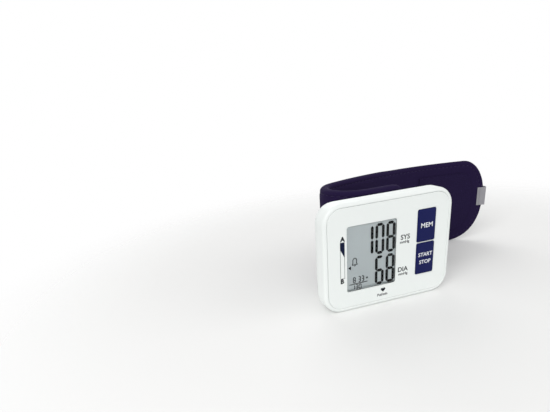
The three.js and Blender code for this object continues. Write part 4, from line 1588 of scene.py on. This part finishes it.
@dataclass
class PullTab:
    """The grey ribbon folded over the tip of the tail."""

    path: StrapPath
    height: float = 13.5
    z: float = 2.4
    lap: float = 5.0
    loop: float = 0.4
    middle_out: float = 2.25
    half_gap: float = 2.6
    bow: float = 4.4
    bow_share: float = 0.5  # of half its gap
    thickness: float = 0.7
    steps: int = 28
    rows: int = 8
    stitch_row: float = -3.4
    stitch_radius: float = 0.22
    stitch_half: float = 0.75
    stitch_pitch: float = 1.8
    stitch_count: int = 7
    stitch_out: float = 0.55  # of the ribbon's thickness

    def fold(self, t: float) -> Vector:
        """A place on the fold of the ribbon: along the strap and out of it.

        Args:
            t: From 0 at the wrist side to 1 at the outer side.

        Returns:
            The place about the tip.
        """
        straight = self.lap + self.loop
        run = t * self.length
        if run < straight:
            return Vector((-self.lap + run, -self.half_gap))
        if run > straight + self.bow:
            return Vector((self.loop - (run - straight - self.bow), self.half_gap))
        turn = -math.pi / 2 + math.pi * (run - straight) / self.bow
        out = self.half_gap * self.bow_share * math.cos(turn)
        return Vector((self.loop + out, self.half_gap * math.sin(turn)))

    @property
    def length(self) -> float:
        """Length of the ribbon before it is folded."""
        return 2 * (self.lap + self.loop) + self.bow

    def place(self) -> Matrix:
        """Finds where the tip of the strap lies and which way it points.

        Returns:
            What takes the tip's own axes to the face's.
        """
        tip = self.path.bend(Vector((self.path.length, self.middle_out, self.z)))
        along = self.path.heading(self.path.length - self.path.probe, self.middle_out)
        return Matrix.Translation(tip) @ Matrix.Rotation(math.atan2(along.y, along.x), 4, "Z")

    def build(self) -> list[Object]:
        """Builds the ribbon and the row of stitches that holds it, which ride on nothing yet."""
        return [self.ribbon(), self.stitches()]

    def ribbon(self) -> Object:
        """Builds the folded ribbon.

        Returns:
            The piece.
        """
        shape = bmesh.new()
        shape.loops.layers.uv.new("cloth")
        bmesh.ops.create_grid(
            shape, x_segments=self.steps, y_segments=self.rows, size=0.5, calc_uvs=False
        )
        map_cloth(shape, (self.length, self.height, 0.0))
        for vert in shape.verts:
            spot = self.fold(vert.co.x + 0.5)
            vert.co = (spot.x, spot.y, vert.co.y * self.height)
        bmesh.ops.recalc_face_normals(shape, faces=shape.faces)
        bmesh.ops.solidify(shape, geom=list(shape.faces), thickness=self.thickness)
        bmesh.ops.transform(shape, matrix=self.place(), verts=shape.verts)
        return make_piece(shape, "pull_ribbon", [RIBBON], ["pull_tab"])

    def stitches(self) -> Object:
        """Builds the row of stitches across both layers.

        Returns:
            The piece.
        """
        shape = bmesh.new()
        size = Matrix.Diagonal((self.stitch_radius, self.stitch_radius, self.stitch_half, 1))
        for side in Side:
            out = side.value * (self.half_gap + self.thickness * self.stitch_out)
            for number in range(self.stitch_count):
                z = (number - (self.stitch_count - 1) / 2) * self.stitch_pitch
                add_stitch(shape, self.place() @ Matrix.Translation((self.stitch_row, out, z)) @ size)
        return make_piece(shape, "pull_stitching", [RIBBON])


class Works:
    """What lies inside the case, kept as its CAD nodes and dressed."""

    def build(self) -> None:
        """Dresses the inside."""
        finishes: dict[Finish, tuple[str, ...]] = {
            BLACK_NYLON: (
                "lcd_frame", "mem_switch", "start_stop_switch", "buzzer",
                "pump_head", "pressure_sensor", "bladder_port",
            ),
            BLACK_RUBBER: ("display_connector",),
            BOARD: ("main_board",),
            STEEL: (
                "case_screw_lower", "case_screw_upper", "cuff_screw_lower", "cuff_screw_upper",
                "battery_bridge", "battery_contact_inner", "battery_contact_outer",
                "pump_motor", "release_valve",
            ),
            CELL_SLEEVE: ("battery_cell_inner", "battery_cell_outer"),
            GREY_PS: ("battery_holder", "air_tee", "cuff_former"),
            MILKY_TUBE: ("pump_tube", "valve_tube", "sensor_tube", "cuff_tube"),
        }
        for finish, nodes in finishes.items():
            for node in nodes:
                dress(node, finish)


@dataclass(frozen=True)
class Lamp:
    """A soft square lamp: where it hangs and its side, in metres, and its power in watts."""

    name: str
    place: tuple[float, float, float]
    size: float
    power: float


@dataclass
class Studio:
    """Camera, lamps, floor and backdrop."""

    camera_place: tuple[float, float, float] = (-137.2, -199.06, 86.49)
    heading: float = -14.461
    tilt: float = -21.578
    roll: float = -6.101
    lens: float = 27.924
    sensor: float = 36.0
    shift: tuple[float, float] = (0.0547, 0.12)
    clip: float = 0.01
    world_strength: float = 0.52
    floor_size: float = 0.45
    lamps: tuple[Lamp, ...] = (
        Lamp("key_lamp", place=(-0.8, -0.7, 0.8), size=0.7, power=8.0),
        Lamp("fill_lamp", place=(0.85, -0.55, 0.6), size=0.8, power=2.5),
        Lamp("back_lamp", place=(0.15, 0.85, 0.8), size=0.8, power=3.0),
    )
    lamp_aim: tuple[float, float, float] = (0.0, 0.0, 0.03)

    def build(self) -> None:
        """Sets the scene."""
        bpy.context.scene.view_settings.view_transform = "Standard"
        self.camera()
        self.backdrop()
        self.floor()
        for lamp in self.lamps:
            self.hang(lamp)

    def camera(self) -> None:
        """Sets the camera where the photograph was taken from."""
        data = bpy.data.cameras.new("camera")
        data.sensor_width = self.sensor
        data.sensor_fit = "HORIZONTAL"
        data.lens = self.lens
        data.shift_x, data.shift_y = self.shift
        data.clip_start = self.clip
        camera = put("camera", data)
        heading = Matrix.Rotation(math.radians(self.heading), 4, "Z")
        tilt = Matrix.Rotation(math.radians(90 + self.tilt), 4, "X")
        roll = Matrix.Rotation(math.radians(self.roll), 4, "Z")
        place = Matrix.Translation(FACE_TO_FRAME @ Vector(self.camera_place))
        camera.matrix_world = place @ heading @ tilt @ roll
        bpy.context.scene.camera = camera

    def hang(self, lamp: Lamp) -> None:
        """Adds a lamp that points at the object.

        Args:
            lamp: The lamp.
        """
        data = bpy.data.lights.new(lamp.name, "AREA")
        data.size = lamp.size
        data.energy = lamp.power
        hung = put(lamp.name, data)
        hung.location = lamp.place
        aim = Vector(self.lamp_aim) - Vector(lamp.place)
        hung.rotation_euler = aim.to_track_quat("-Z", "Y").to_euler()

    def backdrop(self) -> None:
        """Makes the world a soft light, white where the camera, gloss or glass sees it."""
        world = bpy.data.worlds.new("studio")
        world.use_nodes = True
        bpy.context.scene.world = world
        tree = world.node_tree
        seen = add_node(tree, "LightPath", {}, "Is Camera Ray")
        rays = seen.node.outputs
        for ray in ("Is Glossy Ray", "Is Transmission Ray"):
            seen = add_node(tree, "Math", {0: seen, 1: rays[ray]}, operation="MAXIMUM")
        light = {"Value": seen, "To Min": self.world_strength, "To Max": 1.0}
        looks = {"Color": linear("#FFFFFF"), "Strength": add_node(tree, "MapRange", light)}
        feed(tree.nodes["Background"], looks)

    def floor(self) -> None:
        """Lays the pale floor under the object."""
        shape = bmesh.new()
        bmesh.ops.create_grid(shape, x_segments=1, y_segments=1, size=self.floor_size)
        mesh = bpy.data.meshes.new("floor")
        shape.to_mesh(mesh)
        shape.free()
        mesh.materials.append(FLOOR_PAPER.material())
        floor = put("floor", mesh)


def main() -> None:
    """Builds the monitor in order."""
    logging.basicConfig(level=logging.INFO, format="%(message)s")
    Studio().build()
    housing = Housing()
    housing.build()
    Keys().build(housing.keys)
    Display(housing.window).build()
    FacePrint().build()
    Cuff().build()
    Works().build()


if __name__ == "__main__":
    main()
